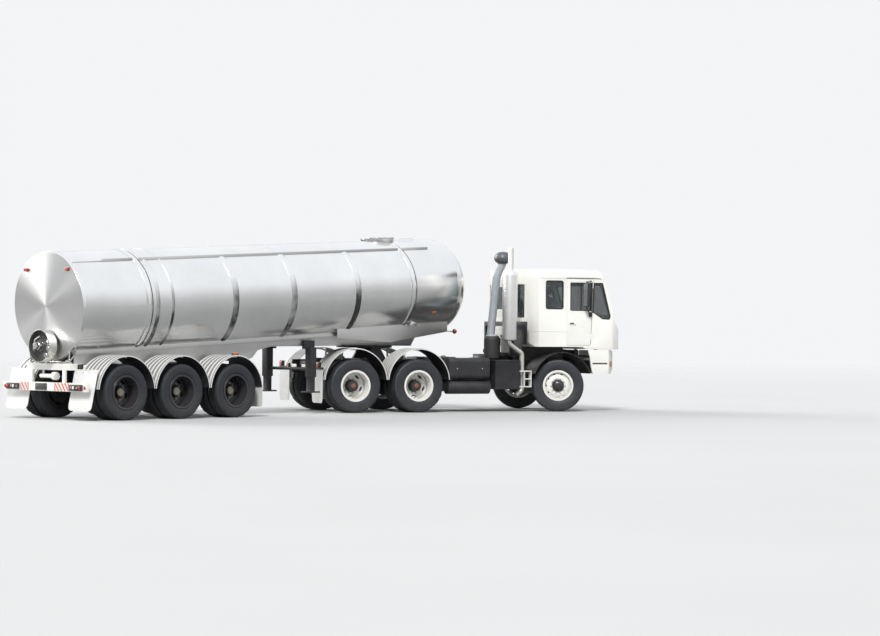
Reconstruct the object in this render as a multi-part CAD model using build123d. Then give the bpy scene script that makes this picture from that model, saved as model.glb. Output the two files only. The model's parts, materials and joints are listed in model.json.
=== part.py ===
from build123d import *
import math
import os

# Millimetres. The tractor is drawn with x = 0 just behind its front axle, +X forward, +Y left, z = 0 on the ground.
# The trailer is drawn with x = 0 at the kingpin, then swung about it. Everything is last moved by datum.

datum = (5020, 1382)            # from the middle of the outline on the ground to the tractor's x = 0
trailer_yaw = 23.65             # degrees, the trailer's heading left of the tractor's
steer_rest = -20.0              # degrees, the front wheels' turn, negative to the right
kingpin_x = -3597
coupling_z = 1300               # top of the fifth wheel
coupler_thickness = 14

overall_half_width = 1200
seat_gap = 0.3                  # between pieces that rest on each other
running_gap = 0.5               # between a shaft and its bore
door_gap = 5

# Axles
front_axle_x = 130
drive_axle_x = (-3010, -4337)
trailer_axle_x = (-4649, -5946, -7243)
tractor_tyre_radius = 522
trailer_tyre_radius = 490
front_tyre_width = 280
twin_tyre_width = 262
twin_pitch = 318                # between the middles of two twin tyres
rim_flange_radius = 308
rim_seat_radius = 284
rim_wall = 14
bead_share = 0.36               # of the tyre's width, from its middle to the edge of its foot
flange_share = 0.42             # of the tyre's width, from its middle to the rim's flange
flange_width = 12
steer_pin_y = 900
steer_pin_radius = 18
spindle_radius = 38
front_track_half = overall_half_width - front_tyre_width / 2
twin_track_half = overall_half_width - twin_tyre_width / 2 - twin_pitch / 2

# Tractor frame
rail_half_gap = 350
rail_width = 75
rail_z = (760, 1020)
rail_wall = 9
rail_x = (-5060, 1225)

# Cab
cab_half_width = 1200
cab_wall = 45
cab_floor_z = 1300
cab_roof_z = 2850
cab_front_x = 1430
cab_rear_x = -720
cab_corner = (300, 760)         # length and width of the bevel at each rear corner
cab_front_corner = 120
glass_inset = 14
glass_thickness = 6
tilt_pin = (1230, 1100)         # x, z
tilt_pin_radius = 20
tilt_lug_y = (430, 470)
tilt_lug_half = 28
door_seam_foot = (734, 1330)    # x, z of the door's front lower corner
door_seam_lean = 0.043          # forward travel of the seam for each unit of height
door_frame = 24                 # between the seam and the window on each side of it
door_top_z = 2665
door_rear_x = 205

# Tank
tank_radius = 958
tank_slope = 3.1                # degrees, nose up
belly_gap = 147.6               # from the coupler's top to the tank's underside, at the kingpin
tank_axis_z = coupling_z + coupler_thickness + belly_gap + tank_radius / math.cos(math.radians(tank_slope))
tank_rear_x = -8042
tank_front_x = 1665
tank_front_depth = 350
tank_rear_depth = 70
manhole_x = 270
manhole_radius = 330
manhole_rise = 30

# Trailer frame
trailer_rail_y = 500
trailer_rail_wall = 12
trailer_rail_flange = 90
coupler_half_width = 600
skirt_y = 640
leg_x = -2190
leg_y = 600
leg_size = 150


def box(x, y, z):
    size = Box(x[1] - x[0], y[1] - y[0], z[1] - z[0])
    return Pos((x[0] + x[1]) / 2, (y[0] + y[1]) / 2, (z[0] + z[1]) / 2) * size


def outline(points):
    return make_face(Polyline(*points, close=True))


def span(x, side, y, z):
    # A box on one side of the vehicle, with y as distances from its middle.
    low = min(side * y[0], side * y[1])
    high = max(side * y[0], side * y[1])
    return box(x, (low, high), z)


def side_plate(points, y):
    # An outline in X and Z, thick from y[0] to y[1].
    return Pos(0, y[1], 0) * extrude(Plane.XZ * outline(points), amount=y[1] - y[0])


def plan_plate(points, z):
    return Pos(0, 0, z[0]) * extrude(outline(points), amount=z[1] - z[0])


def front_plate(points, x):
    return Pos(x[0], 0, 0) * extrude(Plane.YZ * outline(points), amount=x[1] - x[0])


def rod(start, end, radius):
    start = Vector(*start)
    end = Vector(*end)
    length = (end - start).length
    return Plane(origin=start, z_dir=end - start) * Cylinder(radius, length, align=(Align.CENTER, Align.CENTER, Align.MIN))


def turned(profile):
    # A profile of (radius, y) turned about the Y axis.
    return revolve(outline(profile), axis=Axis.Y)


def half_ring(radius, wall, y, floor_z):
    # A half tube along Y about the origin, kept above floor_z.
    ring = turned([(radius - wall, y[0]), (radius, y[0]), (radius, y[1]), (radius - wall, y[1])])
    keep = box((-2 * radius, 2 * radius), (y[0] - 1, y[1] + 1), (floor_z, 2 * radius))
    return ring & keep


def mirrored(shape):
    return mirror(shape, about=Plane.XZ)


def both_sides(shape):
    return [shape, mirrored(shape)]


# Wheels, drawn about the origin with their axis along Y and their outer face towards +Y


def tyre(radius, width):
    bead = rim_seat_radius + seat_gap
    bead_half = width * bead_share
    tread_half = width * 0.40
    wall_radius = (radius + bead) / 2
    shoulder = radius - 22
    right = ThreePointArc((bead, bead_half), (wall_radius, width / 2), (shoulder, width * 0.46))
    left = ThreePointArc((shoulder, -width * 0.46), (wall_radius, -width / 2), (bead, -bead_half))
    crown = [
        Line((shoulder, width * 0.46), (radius - 4, tread_half)),
        ThreePointArc((radius - 4, tread_half), (radius, 0), (radius - 4, -tread_half)),
        Line((radius - 4, -tread_half), (shoulder, -width * 0.46)),
    ]
    foot = Line((bead, -bead_half), (bead, bead_half))
    section = make_face([right, *crown, left, foot])
    return revolve(section, axis=Axis.Y)


def rim_barrel(width, side):
    # The dished barrel of one rim, with a flange at each edge.
    foot = width * bead_share + 10
    edge = width * flange_share
    profile = [
        (rim_seat_radius - rim_wall, -edge - flange_width),
        (rim_flange_radius, -edge - flange_width),
        (rim_flange_radius, -edge),
        (rim_seat_radius, -foot),
        (rim_seat_radius, foot),
        (rim_flange_radius, edge),
        (rim_flange_radius, edge + flange_width),
        (rim_seat_radius - rim_wall, edge + flange_width),
    ]
    return Pos(0, side, 0) * turned(profile)


def hand_holes(count, radius, length, width):
    holes = []
    for i in range(count):
        slot = extrude(SlotOverall(length, width), amount=400, both=True)
        slot = Pos(radius, 0, 0) * Rot(90, 0, 0) * Rot(0, 0, 90) * slot
        holes.append(Rot(0, 360 / count * i, 0) * slot)
    return holes


def front_rim():
    bore = spindle_radius + running_gap
    disc = turned([
        (rim_seat_radius - rim_wall + 2, 20),
        (rim_seat_radius - rim_wall + 2, 44),
        (210, 92),
        (130, 92),
        (118, 84),
        (118, 128),
        (80, 146),
        (bore, 146),
        (bore, -44),
        (100, -44),
        (100, 62),
        (200, 70),
    ])
    for hole in hand_holes(10, 232, 46, 26):
        disc = disc - hole
    drum = turned([(100, -44), (205, -44), (205, 20), (190, 20), (190, -30), (100, -30)])
    return rim_barrel(front_tyre_width, 0) + disc + drum


def twin_rim(hub_radius, hub_length, holes):
    # Two dished rims, back to back on one hub, with the brake drum inside the inner one.
    bore = spindle_radius + running_gap
    disc_radius = rim_seat_radius - rim_wall + 2
    lip = twin_pitch / 2 - twin_tyre_width * 0.40 - 8
    web = turned([
        (disc_radius, -lip),
        (disc_radius, lip + 4),
        (225, 26),
        (hub_radius, 26),
        (hub_radius, hub_length),
        (hub_radius - 22, hub_length + 22),
        (bore, hub_length + 22),
        (bore, -250),
        (110, -250),
        (110, -26),
        (225, -26),
    ])
    for hole in hand_holes(holes, 212, 84, 42):
        web = web - hole
    drum = turned([(110, -250), (215, -250), (215, -60), (200, -60), (200, -236), (110, -236)])
    outer = rim_barrel(twin_tyre_width, twin_pitch / 2)
    inner = rim_barrel(twin_tyre_width, -twin_pitch / 2)
    return outer + inner + web + drum


def wheel_place(x, y, z, side):
    # side is +1 for the left of the vehicle and -1 for its right.
    turn = 0 if side > 0 else 180
    return Pos(x, y * side, z) * Rot(0, 0, turn)


# Tractor


def chassis_frame():
    y_out = rail_half_gap + rail_width
    solid = box(rail_x, (rail_half_gap, y_out), rail_z)
    hollow = box((rail_x[0] - 1, rail_x[1] + 1), (rail_half_gap - 1, y_out - rail_wall),
                 (rail_z[0] + rail_wall, rail_z[1] - rail_wall))
    rail = solid - hollow
    frame = rail + mirrored(rail)
    # x, height of the middle and half height of each cross-member
    members = [(1120, 890, 70), (-1480, 955, 55), (-2480, 890, 70), (-3673, 890, 90), (-4900, 890, 100)]
    for x, middle, half in members:
        reach = y_out - rail_wall + 1
        member = box((x - 40, x + 40), (-reach, reach), (middle - half, middle + half))
        frame = frame + member
    pin = rod((tilt_pin[0], -tilt_lug_y[1] - 12, tilt_pin[1]), (tilt_pin[0], tilt_lug_y[1] + 12, tilt_pin[1]),
              tilt_pin_radius)
    for side in (1, -1):
        ear_x = (tilt_pin[0] - 60, tilt_pin[0] + tilt_pin_radius)
        pin = pin + span(ear_x, side, (rail_half_gap + 10, y_out), (rail_z[1] - 20, tilt_pin[1] + tilt_lug_half))
    return frame + pin + rear_bridge()


def leaf_spring(x, y, z, length, drop, width, thickness):
    # A shallow bow of leaves: the outline is a pair of arcs and thins towards its eyes.
    half = length / 2
    top = ThreePointArc((-half, z), (0, z - drop), (half, z))
    low = ThreePointArc((half, z - thickness * 0.35), (0, z - drop - thickness), (-half, z - thickness * 0.35))
    ends = [Line((half, z), (half, z - thickness * 0.35)), Line((-half, z - thickness * 0.35), (-half, z))]
    face = make_face([top, ends[0], low, ends[1]])
    spring = extrude(Plane.XZ * face, amount=width)
    return Pos(x, y + width / 2, 0) * spring


front_beam_z = 372
front_spring_y = 388


def front_axle():
    wheel_z = tractor_tyre_radius
    eye = 62
    half = steer_pin_y
    beam = front_plate([
        (-half, wheel_z + eye), (-half, wheel_z - eye), (-half + 70, wheel_z - eye),
        (-half + 220, front_beam_z - 45), (half - 220, front_beam_z - 45), (half - 70, wheel_z - eye),
        (half, wheel_z - eye), (half, wheel_z + eye), (half - 80, wheel_z + eye),
        (half - 240, front_beam_z + 50), (-half + 240, front_beam_z + 50), (-half + 80, wheel_z + eye),
    ], (-42, 42))
    for side in (1, -1):
        beam = beam + rod((0, side * half, wheel_z - eye), (0, side * half, wheel_z + eye), 44)
        bore = rod((0, side * half, wheel_z - 200), (0, side * half, wheel_z + 200), steer_pin_radius + running_gap)
        beam = beam - bore
    seat_z = front_beam_z + 50
    for side in (1, -1):
        spring = leaf_spring(0, side * front_spring_y, 740, 1500, 250, 70, 68)
        beam = beam + spring
        for x in (-745, 745):
            hanger = box((x - 25, x + 25), (side * front_spring_y - 42, side * front_spring_y + 42),
                         (690, rail_z[0] - seat_gap))
            beam = beam + hanger
        beam = beam + box((-60, 60), (side * front_spring_y - 50, side * front_spring_y + 50), (seat_z - 20, seat_z + 12))
    return Pos(front_axle_x, 0, 0) * beam


def knuckle():
    # The left knuckle about its own pin: the yoke, the pin and the spindle that the wheel turns on.
    eye = 62 + 2
    arms = box((-48, 48), (-46, 78), (eye, eye + 34)) + box((-48, 48), (-46, 78), (-eye - 34, -eye))
    back = box((-48, 48), (52, 78), (-eye - 34, eye + 34))
    pin = rod((0, 0, -eye - 40), (0, 0, eye + 40), steer_pin_radius)
    reach = front_track_half - steer_pin_y
    spindle = rod((0, 60, 0), (0, reach + 120, 0), spindle_radius)
    arm = box((-190, -40), (-30, 0), (-eye - 30, -eye - 4))
    return arms + back + pin + spindle + arm


bogie_spring_y = 470
saddle_half = 46                # half the width of a spring's saddle


def drive_axle(x):
    z = tractor_tyre_radius
    drum_face = twin_track_half - 250 - 6
    tube = rod((x, -drum_face, z), (x, drum_face, z), 72)
    spindles = rod((x, -twin_track_half - 90, z), (x, twin_track_half + 90, z), spindle_radius)
    bowl = Pos(x, 0, z) * Sphere(200) & box((x - 230, x + 170), (-180, 180), (z - 240, z + 240))
    nose = rod((x, 0, z + 30), (x + 290, 0, z + 70), 70)
    seats = []
    for side in (1, -1):
        y = side * bogie_spring_y
        seats.append(box((x - 90, x + 90), (y - 50, y + 50), (z - 90, z + 96)))
    axle = tube + spindles + bowl + nose
    for seat in seats:
        axle = axle + seat
    return axle


def bogie_springs():
    # One inverted spring each side, over both drive axles, on a saddle below the rail.
    middle = (drive_axle_x[0] + drive_axle_x[1]) / 2
    span = drive_axle_x[0] - drive_axle_x[1]
    seat_z = tractor_tyre_radius + 96 + seat_gap
    springs = []
    for side in (1, -1):
        y = side * bogie_spring_y
        face = make_face([
            Line((-span / 2 - 80, seat_z), (-span / 2 - 80, seat_z + 26)),
            ThreePointArc((-span / 2 - 80, seat_z + 26), (0, seat_z + 118), (span / 2 + 80, seat_z + 26)),
            Line((span / 2 + 80, seat_z + 26), (span / 2 + 80, seat_z)),
            ThreePointArc((span / 2 + 80, seat_z), (0, seat_z + 30), (-span / 2 - 80, seat_z)),
        ])
        spring = Pos(middle, y + 40, 0) * extrude(Plane.XZ * face, amount=80)
        saddle = box((middle - 90, middle + 90), (y - saddle_half, y + saddle_half), (seat_z - 150, seat_z + 40))
        springs.append(spring + saddle)
    reach = bogie_spring_y - saddle_half - seat_gap
    cross = box((middle - 60, middle + 60), (-reach, reach), (seat_z - 150, seat_z - 70))
    return springs + [cross]


def engine_block():
    block = box((-560, 560), (-300, 300), (560, 1480))
    pan = box((-480, 420), (-210, 210), (430, 560))
    gearbox = box((-1380, -560), (-210, 210), (600, 1010)) + box((-1250, -560), (-160, 160), (1000, 1140))
    shaft = rod((-1380, 0, 800), (drive_axle_x[0] + 290, 0, tractor_tyre_radius + 76), 55)
    radiator = box((800, 900), (-330, 330), (700, 1230))
    hoses = rod((560, 150, 1080), (800, 150, 1080), 40) + rod((560, -150, 800), (800, -150, 800), 40)
    return block + pan + gearbox + shaft + radiator + hoses


bridge_x = (-860, -780)
bridge_z = (1100, 1190)
bridge_near = 800               # its reach to the right, where it carries the exhaust
bridge_far = 465


def rear_bridge():
    # The black arch behind the cab: it holds the cab's rear mounts, the exhaust and the air intake.
    rail_side = rail_half_gap + rail_width
    bridge = box(bridge_x, (-bridge_near, bridge_far), (1710, 1800))
    bridge = bridge + box(bridge_x, (-bridge_near, 20 - rail_side), bridge_z)
    bridge = bridge + box(bridge_x, (-rail_side - 40, 20 - rail_side), (820, bridge_z[1]))
    bridge = bridge + box(bridge_x, (-bridge_near, 60 - bridge_near), (bridge_z[1] - 5, 1720))
    bridge = bridge + box(bridge_x, (rail_side - 20, bridge_far), (820, 1720))
    reach = muffler_y + muffler_radius + seat_gap
    bridge = bridge + box((muffler_x - 40, bridge_x[1]), (reach, 10 - bridge_near), (1710, 1800))
    screen = front_plate([(-460, 1060), (-900, 1060), (-900, 1340), (-1120, 1340), (-1120, 1800), (-460, 1800)],
                         (-660, -640))
    foot = box((bridge_x[1] - 5, -655), (-bridge_near, 60 - bridge_near), (1110, 1180))
    return bridge + screen + foot


fifth_wheel_x = kingpin_x


def fifth_wheel():
    top = coupling_z - seat_gap
    plate = Pos(fifth_wheel_x, 0, top - 20) * Cylinder(460, 40)
    horns = plan_plate([
        (fifth_wheel_x - 120, -460), (fifth_wheel_x + 60, -460), (fifth_wheel_x + 60, 460), (fifth_wheel_x - 120, 460),
        (fifth_wheel_x - 560, 330), (fifth_wheel_x - 560, 190), (fifth_wheel_x - 260, 42),
        (fifth_wheel_x - 260, -42), (fifth_wheel_x - 560, -190), (fifth_wheel_x - 560, -330),
    ], (top - 40, top))
    throat = plan_plate([
        (fifth_wheel_x + 30, -42), (fifth_wheel_x + 30, 42), (fifth_wheel_x - 260, 42), (fifth_wheel_x - 560, 190),
        (fifth_wheel_x - 700, 190), (fifth_wheel_x - 700, -190), (fifth_wheel_x - 560, -190), (fifth_wheel_x - 260, -42),
    ], (top - 60, top + 20))
    hole = Pos(fifth_wheel_x, 0, top) * Cylinder(42, 200)
    base_z = rail_z[1] + seat_gap
    base = box((fifth_wheel_x - 330, fifth_wheel_x + 330), (-460, 460), (base_z, base_z + 24))
    body = plate + horns - throat - hole + base
    for side in (1, -1):
        stand = side_plate([
            (fifth_wheel_x - 220, base_z + 20), (fifth_wheel_x + 220, base_z + 20),
            (fifth_wheel_x + 90, top - 30), (fifth_wheel_x - 90, top - 30),
        ], (side * 340 - 35, side * 340 + 35))
        body = body + stand
    return body


side_tank_x = (-2330, -1450)


def side_tanks():
    # A long tank each side of the frame, with an air vessel hung below it.
    y = -810
    x = side_tank_x
    tank = box(x, (y - 300, y + 300), (650, 1070))
    tank = fillet(tank.edges().filter_by(Axis.X), radius=90)
    strap_places = (x[0] + 170, x[1] - 170)
    for place in strap_places:
        band = box((place - 30, place + 30), (y - 306, y + 306), (644, 1076))
        band = fillet(band.edges().filter_by(Axis.X), radius=92)
        tank = tank + band
    for place in strap_places:
        bracket = box((place - 30, place + 30), (y + 290, -rail_half_gap - rail_width - seat_gap), (700, 980))
        tank = tank + bracket
    vessel = rod((x[0], y - 150, 495), (x[1] + 30, y - 150, 495), 138)
    hangers = []
    for place in strap_places:
        hangers.append(box((place - 25, place + 25), (y - 165, y - 135), (600, 660)))
    right = tank + vessel
    for hanger in hangers:
        right = right + hanger
    return both_sides(right)


box_x = (-1350, -820)


def battery_box():
    right = box(box_x, (-1160, -560), (450, 1010))
    right = right + box((box_x[0] - 8, box_x[1] + 8), (-1168, -552), (1010, 1030))
    right = right + box((box_x[0] + 120, box_x[1] - 120), (-560, -rail_half_gap - rail_width - seat_gap), (780, 960))
    return both_sides(right)


def cab_steps():
    x = (-720, -575)
    y = (-1190, -1070)
    step = box(x, y, (800, 822))
    for z in (490, 645):
        step = step + box(x, y, (z, z + 22))
    for place in x:
        step = step + box((place - 6, place + 6), y, (490, 822))
    for z in (490, 800):
        step = step + box((box_x[1] + seat_gap, x[0]), (y[0] + 20, y[0] + 60), (z, z + 22))
    return both_sides(step)


muffler_x = -970
muffler_y = -1000
muffler_radius = 150
muffler_z = (1420, 2830)
stack_radius = 54
stack_top_z = 3260


def exhaust_stack():
    # The muffler's profile is turned about its upright axis and narrows to the stack on its top.
    height = muffler_z[1] - muffler_z[0]
    profile = [
        (0, 0), (muffler_radius - 20, 0), (muffler_radius, 18), (muffler_radius, height - 100),
        (stack_radius + 14, height), (0, height),
    ]
    body = Pos(muffler_x, muffler_y, muffler_z[0]) * Rot(90, 0, 0) * turned(profile)
    stack_x = muffler_x + 12
    stack = rod((stack_x, muffler_y, muffler_z[1] - 5), (stack_x, muffler_y, stack_top_z), stack_radius)
    mouth = rod((stack_x, muffler_y, stack_top_z - 120), (stack_x, muffler_y, stack_top_z + 10), stack_radius - 6)
    path = FilletPolyline(
        (muffler_x - 14, muffler_y, muffler_z[0] + 10), (muffler_x - 14, muffler_y, muffler_z[0] - 60),
        (-700, muffler_y, 1160), (-700, muffler_y, 420), (-830, muffler_y, 335), radius=90)
    bend = sweep(Plane(origin=path @ 0, z_dir=path % 0) * Circle(52), path=path)
    return body + (stack - mouth) + bend


intake_y = -600
cleaner_x = -1170
cleaner_z = (1050, 1540)
cleaner_radius = 165
duct_radius = 80
duct_bend = (-1080, 2700)       # x and z
bowl_foot = (-946, 2960)
hose_y = -235
hose_radius = 62


def air_intake():
    # An air cleaner beside the bridge, a duct that leans forward up to the bowl, and a hose into the engine.
    low, high = cleaner_z
    height = high - low
    can = Pos(cleaner_x, intake_y, low) * Rot(90, 0, 0) * turned([
        (0, 0), (cleaner_radius - 15, 0), (cleaner_radius, 15), (cleaner_radius, height - 90),
        (cleaner_radius - 35, height - 35), (duct_radius + 14, height), (0, height),
    ])
    duct_path = FilletPolyline(
        (cleaner_x - 35, intake_y, high - 20), (duct_bend[0], intake_y, duct_bend[1]),
        (bowl_foot[0], intake_y, bowl_foot[1] + 20), radius=240)
    duct = sweep(Plane(origin=duct_path @ 0, z_dir=duct_path % 0) * Circle(duct_radius), path=duct_path)
    bowl = Pos(bowl_foot[0], intake_y, bowl_foot[1]) * Rot(90, 0, 0) * turned([
        (0, 0), (100, 0), (160, 50), (178, 95), (176, 130), (150, 185), (95, 228), (0, 245),
    ])
    path = FilletPolyline(
        (cleaner_x, intake_y + 160, 1210), (cleaner_x, hose_y, 1210), (-900, hose_y, 1120),
        (-560 - seat_gap, hose_y, 1120), radius=90)
    hose = sweep(Plane(origin=path @ 0, z_dir=path % 0) * Circle(hose_radius), path=path)
    stay = box((cleaner_x + cleaner_radius - 30, bridge_x[0] - seat_gap), (intake_y - 40, intake_y + 40), (1110, 1170))
    return can + duct + bowl + hose + stay


drive_guard_radius = 652
drive_guard_z = 598
guard_wall = 8
guard_y = (600, 1212)
guard_arm_radius = 16
guard_post_radius = 20
guard_band = 7                  # how far the ribs stand proud
guard_foot = 62                 # height of a trailer guard's lower edges above its middle


def rib_bands(radius, y, floor_z, count):
    # Raised bands that run round a guard's back.
    bands = []
    pitch = (y[1] - y[0]) / count
    for i in range(count):
        low = y[0] + pitch * (i + 0.25)
        bands.append(half_ring(radius + guard_band, guard_wall, (low, low + pitch * 0.5), floor_z))
    return bands


def guard(radius, floor_z):
    shell = half_ring(radius, guard_wall, guard_y, floor_z)
    for band in rib_bands(radius, guard_y, floor_z, 6):
        shell = shell + band
    return shell


def guard_stay(x, crown_z, reach):
    # A post on the side of the frame rail, with an arm out under the guard's crown.
    post_y = rail_half_gap + rail_width + seat_gap + guard_post_radius
    arm_z = crown_z - guard_wall - guard_arm_radius + 3
    arm = rod((x, post_y, arm_z), (x, reach, arm_z), guard_arm_radius)
    post = rod((x, post_y, 860), (x, post_y, arm_z + guard_post_radius), guard_post_radius)
    return arm + post


def drive_mudguards():
    # The left ones.
    guards = []
    for x in drive_axle_x:
        one = Pos(x, 0, drive_guard_z) * guard(drive_guard_radius, 46)
        guards.append(one + guard_stay(x, drive_guard_z + drive_guard_radius, guard_y[1] - 40))
    return guards


arch_radius = 668
arch_y = (640, 1180)


def front_arch():
    # A liner over the left front wheel.
    liner = half_ring(arch_radius, guard_wall, arch_y, 240)
    liner = Pos(front_axle_x, 0, tractor_tyre_radius) * liner & box((-520, 1000), (0, 1300), (0, 1300))
    return liner + guard_stay(front_axle_x, tractor_tyre_radius + arch_radius, arch_y[1] - 40)


def tractor_flaps():
    x = drive_axle_x[1] - drive_guard_radius - 40
    flap = box((x - 8, x), (640, 1200), (190, 560))
    bracket = box((x - 20, x + 20), (rail_half_gap + rail_width + seat_gap, 1190), (840, 880))
    hanger = box((x - 8, x), (640, 1200), (560, 840))
    return bracket, both_sides(flap + hanger)


bumper_z = (757, 1240)
bumper_front = 1335


def front_bumper():
    outer = plan_plate([
        (690, -1190), (bumper_front - 180, -1190), (bumper_front, -1010),
        (bumper_front, 1010), (bumper_front - 180, 1190), (690, 1190),
    ], bumper_z)
    inner = plan_plate([
        (600, -1150), (bumper_front - 197, -1150), (bumper_front - 40, -993),
        (bumper_front - 40, 993), (bumper_front - 197, 1150), (600, 1150),
    ], (bumper_z[0] - 1, bumper_z[1] + 1))
    shell = outer - inner
    low, high = bumper_z[0] - 7, bumper_z[1] + 10
    cuts = [
        [(bumper_front - 120, low), (bumper_front + 20, low), (bumper_front + 20, 860)],
        [(1230, high), (1230, bumper_z[1]), (1300, 1225), (bumper_front + 2, 1192), (bumper_front + 20, high)],
        [(600, high), (690, high), (690, bumper_z[1]), (735, 1100), (764, 900), (800, low), (600, low)],
    ]
    for points in cuts:
        shell = shell - side_plate(points, (-1300, 1300))
    for side in (1, -1):
        lamp = box((1200, bumper_front + 20), (side * 850 - 130, side * 850 + 130), (880, 1060))
        notch = span((1200, 1400), side, (tilt_lug_y[0] - 8, tilt_lug_y[1] + 8), (tilt_pin[1] - 50, 1300))
        slot = box((790, 1130), (side * 1190 - 12, side * 1190 + 12), (950, 980))
        shell = shell - lamp - notch - slot
        arm = box((rail_x[1] + seat_gap, bumper_front - 38), (side * 387 - 30, side * 387 + 30), (800, 980))
        shell = shell + arm
    return shell


def headlamps():
    lamps = []
    for side in (1, -1):
        pan = box((bumper_front - 110, bumper_front - 4), (side * 850 - 130 + seat_gap, side * 850 + 130 - seat_gap),
                  (880 + seat_gap, 1060 - seat_gap))
        lamps.append(pan)
    return lamps


def tractor_tail_lamps():
    x = drive_axle_x[1] - drive_guard_radius - 60
    lamps = []
    for side in (1, -1):
        low = min(side * 520, side * 620)
        high = max(side * 520, side * 620)
        body = box((x - 60, x - seat_gap), (low, high), (820, 940))
        lamps.append(body)
    return lamps


# Cab


def cab_form(inset):
    # The cab's outer shape, or the same drawn smaller all round by inset.
    side = [
        (-545, 1410), (-455, cab_floor_z), (560, cab_floor_z), (640, 1255), (cab_front_x, 1250),
        (cab_front_x, 1666), (1307, 1800), (1055, 2620), (950, cab_roof_z - 30), (880, cab_roof_z),
        (cab_rear_x + 100, cab_roof_z), (cab_rear_x, cab_roof_z - 110), (cab_rear_x, 2560), (-590, 1760),
    ]
    length, width = cab_corner
    half = cab_half_width
    nose = cab_front_corner
    plan = [
        (cab_rear_x, -half + width), (cab_rear_x, half - width), (cab_rear_x + length, half),
        (cab_front_x - nose * 1.6, half), (cab_front_x, half - nose), (cab_front_x, -half + nose),
        (cab_front_x - nose * 1.6, -half), (cab_rear_x + length, -half),
    ]
    front = [
        (-half, 1200), (half, 1200), (half, cab_roof_z - 110), (half - 80, cab_roof_z),
        (-half + 80, cab_roof_z), (-half, cab_roof_z - 110),
    ]
    faces = []
    for points in (side, plan, front):
        face = outline(points)
        if inset:
            face = offset(face, amount=-inset, kind=Kind.INTERSECTION)
        faces.append(face)
    form = Pos(0, 1400, 0) * extrude(Plane.XZ * faces[0], amount=2800)
    form = form & extrude(faces[1], amount=3200)
    return form & (Pos(-1000, 0, 0) * extrude(Plane.YZ * faces[2], amount=2800))


def seam_x(z):
    return door_seam_foot[0] + (z - door_seam_foot[1]) * door_seam_lean


def door_outline(grow):
    low = door_seam_foot[1] - grow
    high = door_top_z + grow
    return [
        (door_rear_x - grow, low), (seam_x(low) + grow, low), (seam_x(high) + grow, high), (door_rear_x - grow, high),
    ]


def door_window(grow):
    return [
        (278 - grow, 2030 - grow), (seam_x(2030) - door_frame + grow, 2030 - grow),
        (seam_x(2590) - door_frame + grow, 2590 + grow), (278 - grow, 2590 + grow),
    ]


def quarter_window(grow):
    return [
        (seam_x(2590) + door_frame - grow, 2590 + grow), (1004 + grow, 2590 + grow), (1184 + grow, 1922),
        (1160, 1856 - grow), (1000, 1866 - grow), (seam_x(1998) + door_frame - grow, 1998),
    ]


def rear_side_window(grow):
    return [(-270 - grow, 2055 - grow), (120 + grow, 2055 - grow), (120 + grow, 2625 + grow), (-270 - grow, 2625 + grow)]


def side_openings(grow):
    cuts = []
    for points in (quarter_window(grow), rear_side_window(grow)):
        cuts.append(side_plate(points, (-1400, -1000)))
        cuts.append(side_plate(points, (1000, 1400)))
    return cuts


def front_opening(grow):
    return box((900, 1400), (-1030 - grow, 1030 + grow), (1940 - grow, 2560 + grow))


def back_openings(grow):
    # The rear window and one in the bevel at each rear corner.
    cuts = [box((-800, -500), (-340 - grow, 340 + grow), (2050 - grow, 2500 + grow))]
    for side in (1, -1):
        cuts.append(span((-800, -450), side, (530 - grow, 828 + grow), (1880 - grow, 2550 + grow)))
    return cuts


tunnel_half = 370
tunnel_top = 1560
tunnel_x = (-800, 700)


door_pin_z = (1450, 2480)        # foot of each hinge pin
door_pin_length = 110
door_pin_radius = 9


def door_pins(side, gap):
    # The hinge pins stand on the cab's pillar, on the seam at the outer skin.
    pins = []
    for z in door_pin_z:
        low = z - 4 * gap
        high = z + door_pin_length + 4 * gap
        y = side * cab_half_width
        pins.append(rod((seam_x(low), y, low), (seam_x(high), y, high), door_pin_radius + gap))
    return pins


def cab_shell():
    shell = cab_form(0) - cab_form(cab_wall)
    wall = 30
    hump = box((tunnel_x[0], tunnel_x[1]), (-tunnel_half, tunnel_half), (cab_floor_z - 60, tunnel_top))
    hollow = box((tunnel_x[0], tunnel_x[1] - wall), (-tunnel_half + wall, tunnel_half - wall),
                 (cab_floor_z - 100, tunnel_top - wall))
    shell = shell + (hump & cab_form(0)) - hollow
    for cut in side_openings(0):
        shell = shell - cut
    shell = shell - front_opening(0)
    for cut in back_openings(0):
        shell = shell - cut
    for y in ((-1400, -1200 + cab_wall + 60), (1200 - cab_wall - 60, 1400)):
        shell = shell - side_plate(door_outline(door_gap / 2), y)
    for side in (1, -1):
        lug_x = (tilt_pin[0] - tilt_lug_half, tilt_pin[0] + tilt_lug_half)
        shell = shell + span(lug_x, side, tilt_lug_y, (tilt_pin[1] - tilt_lug_half, 1270))
    bore = rod((tilt_pin[0], -600, tilt_pin[1]), (tilt_pin[0], 600, tilt_pin[1]), tilt_pin_radius + running_gap)
    shell = shell - bore
    for side in (1, -1):
        for pin in door_pins(side, 0):
            shell = shell + pin
    return shell


def door(side):
    shell = cab_form(0) - cab_form(cab_wall)
    low = min(side * 1100, side * 1400)
    high = max(side * 1100, side * 1400)
    panel = shell & side_plate(door_outline(-door_gap / 2), (low, high))
    panel = panel - side_plate(door_window(0), (low, high))
    for pin in door_pins(side, running_gap):
        panel = panel - pin
    handle = box((250, 360), (min(side * 1195, side * 1222), max(side * 1195, side * 1222)), (1760, 1790))
    return panel + handle


def cab_glass():
    skin = cab_form(glass_inset) - cab_form(glass_inset + glass_thickness)
    panes = []
    for cut in side_openings(-seat_gap):
        panes.append(skin & cut)
    panes.append(skin & front_opening(-seat_gap))
    for cut in back_openings(-seat_gap):
        panes.append(skin & cut)
    return panes


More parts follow.
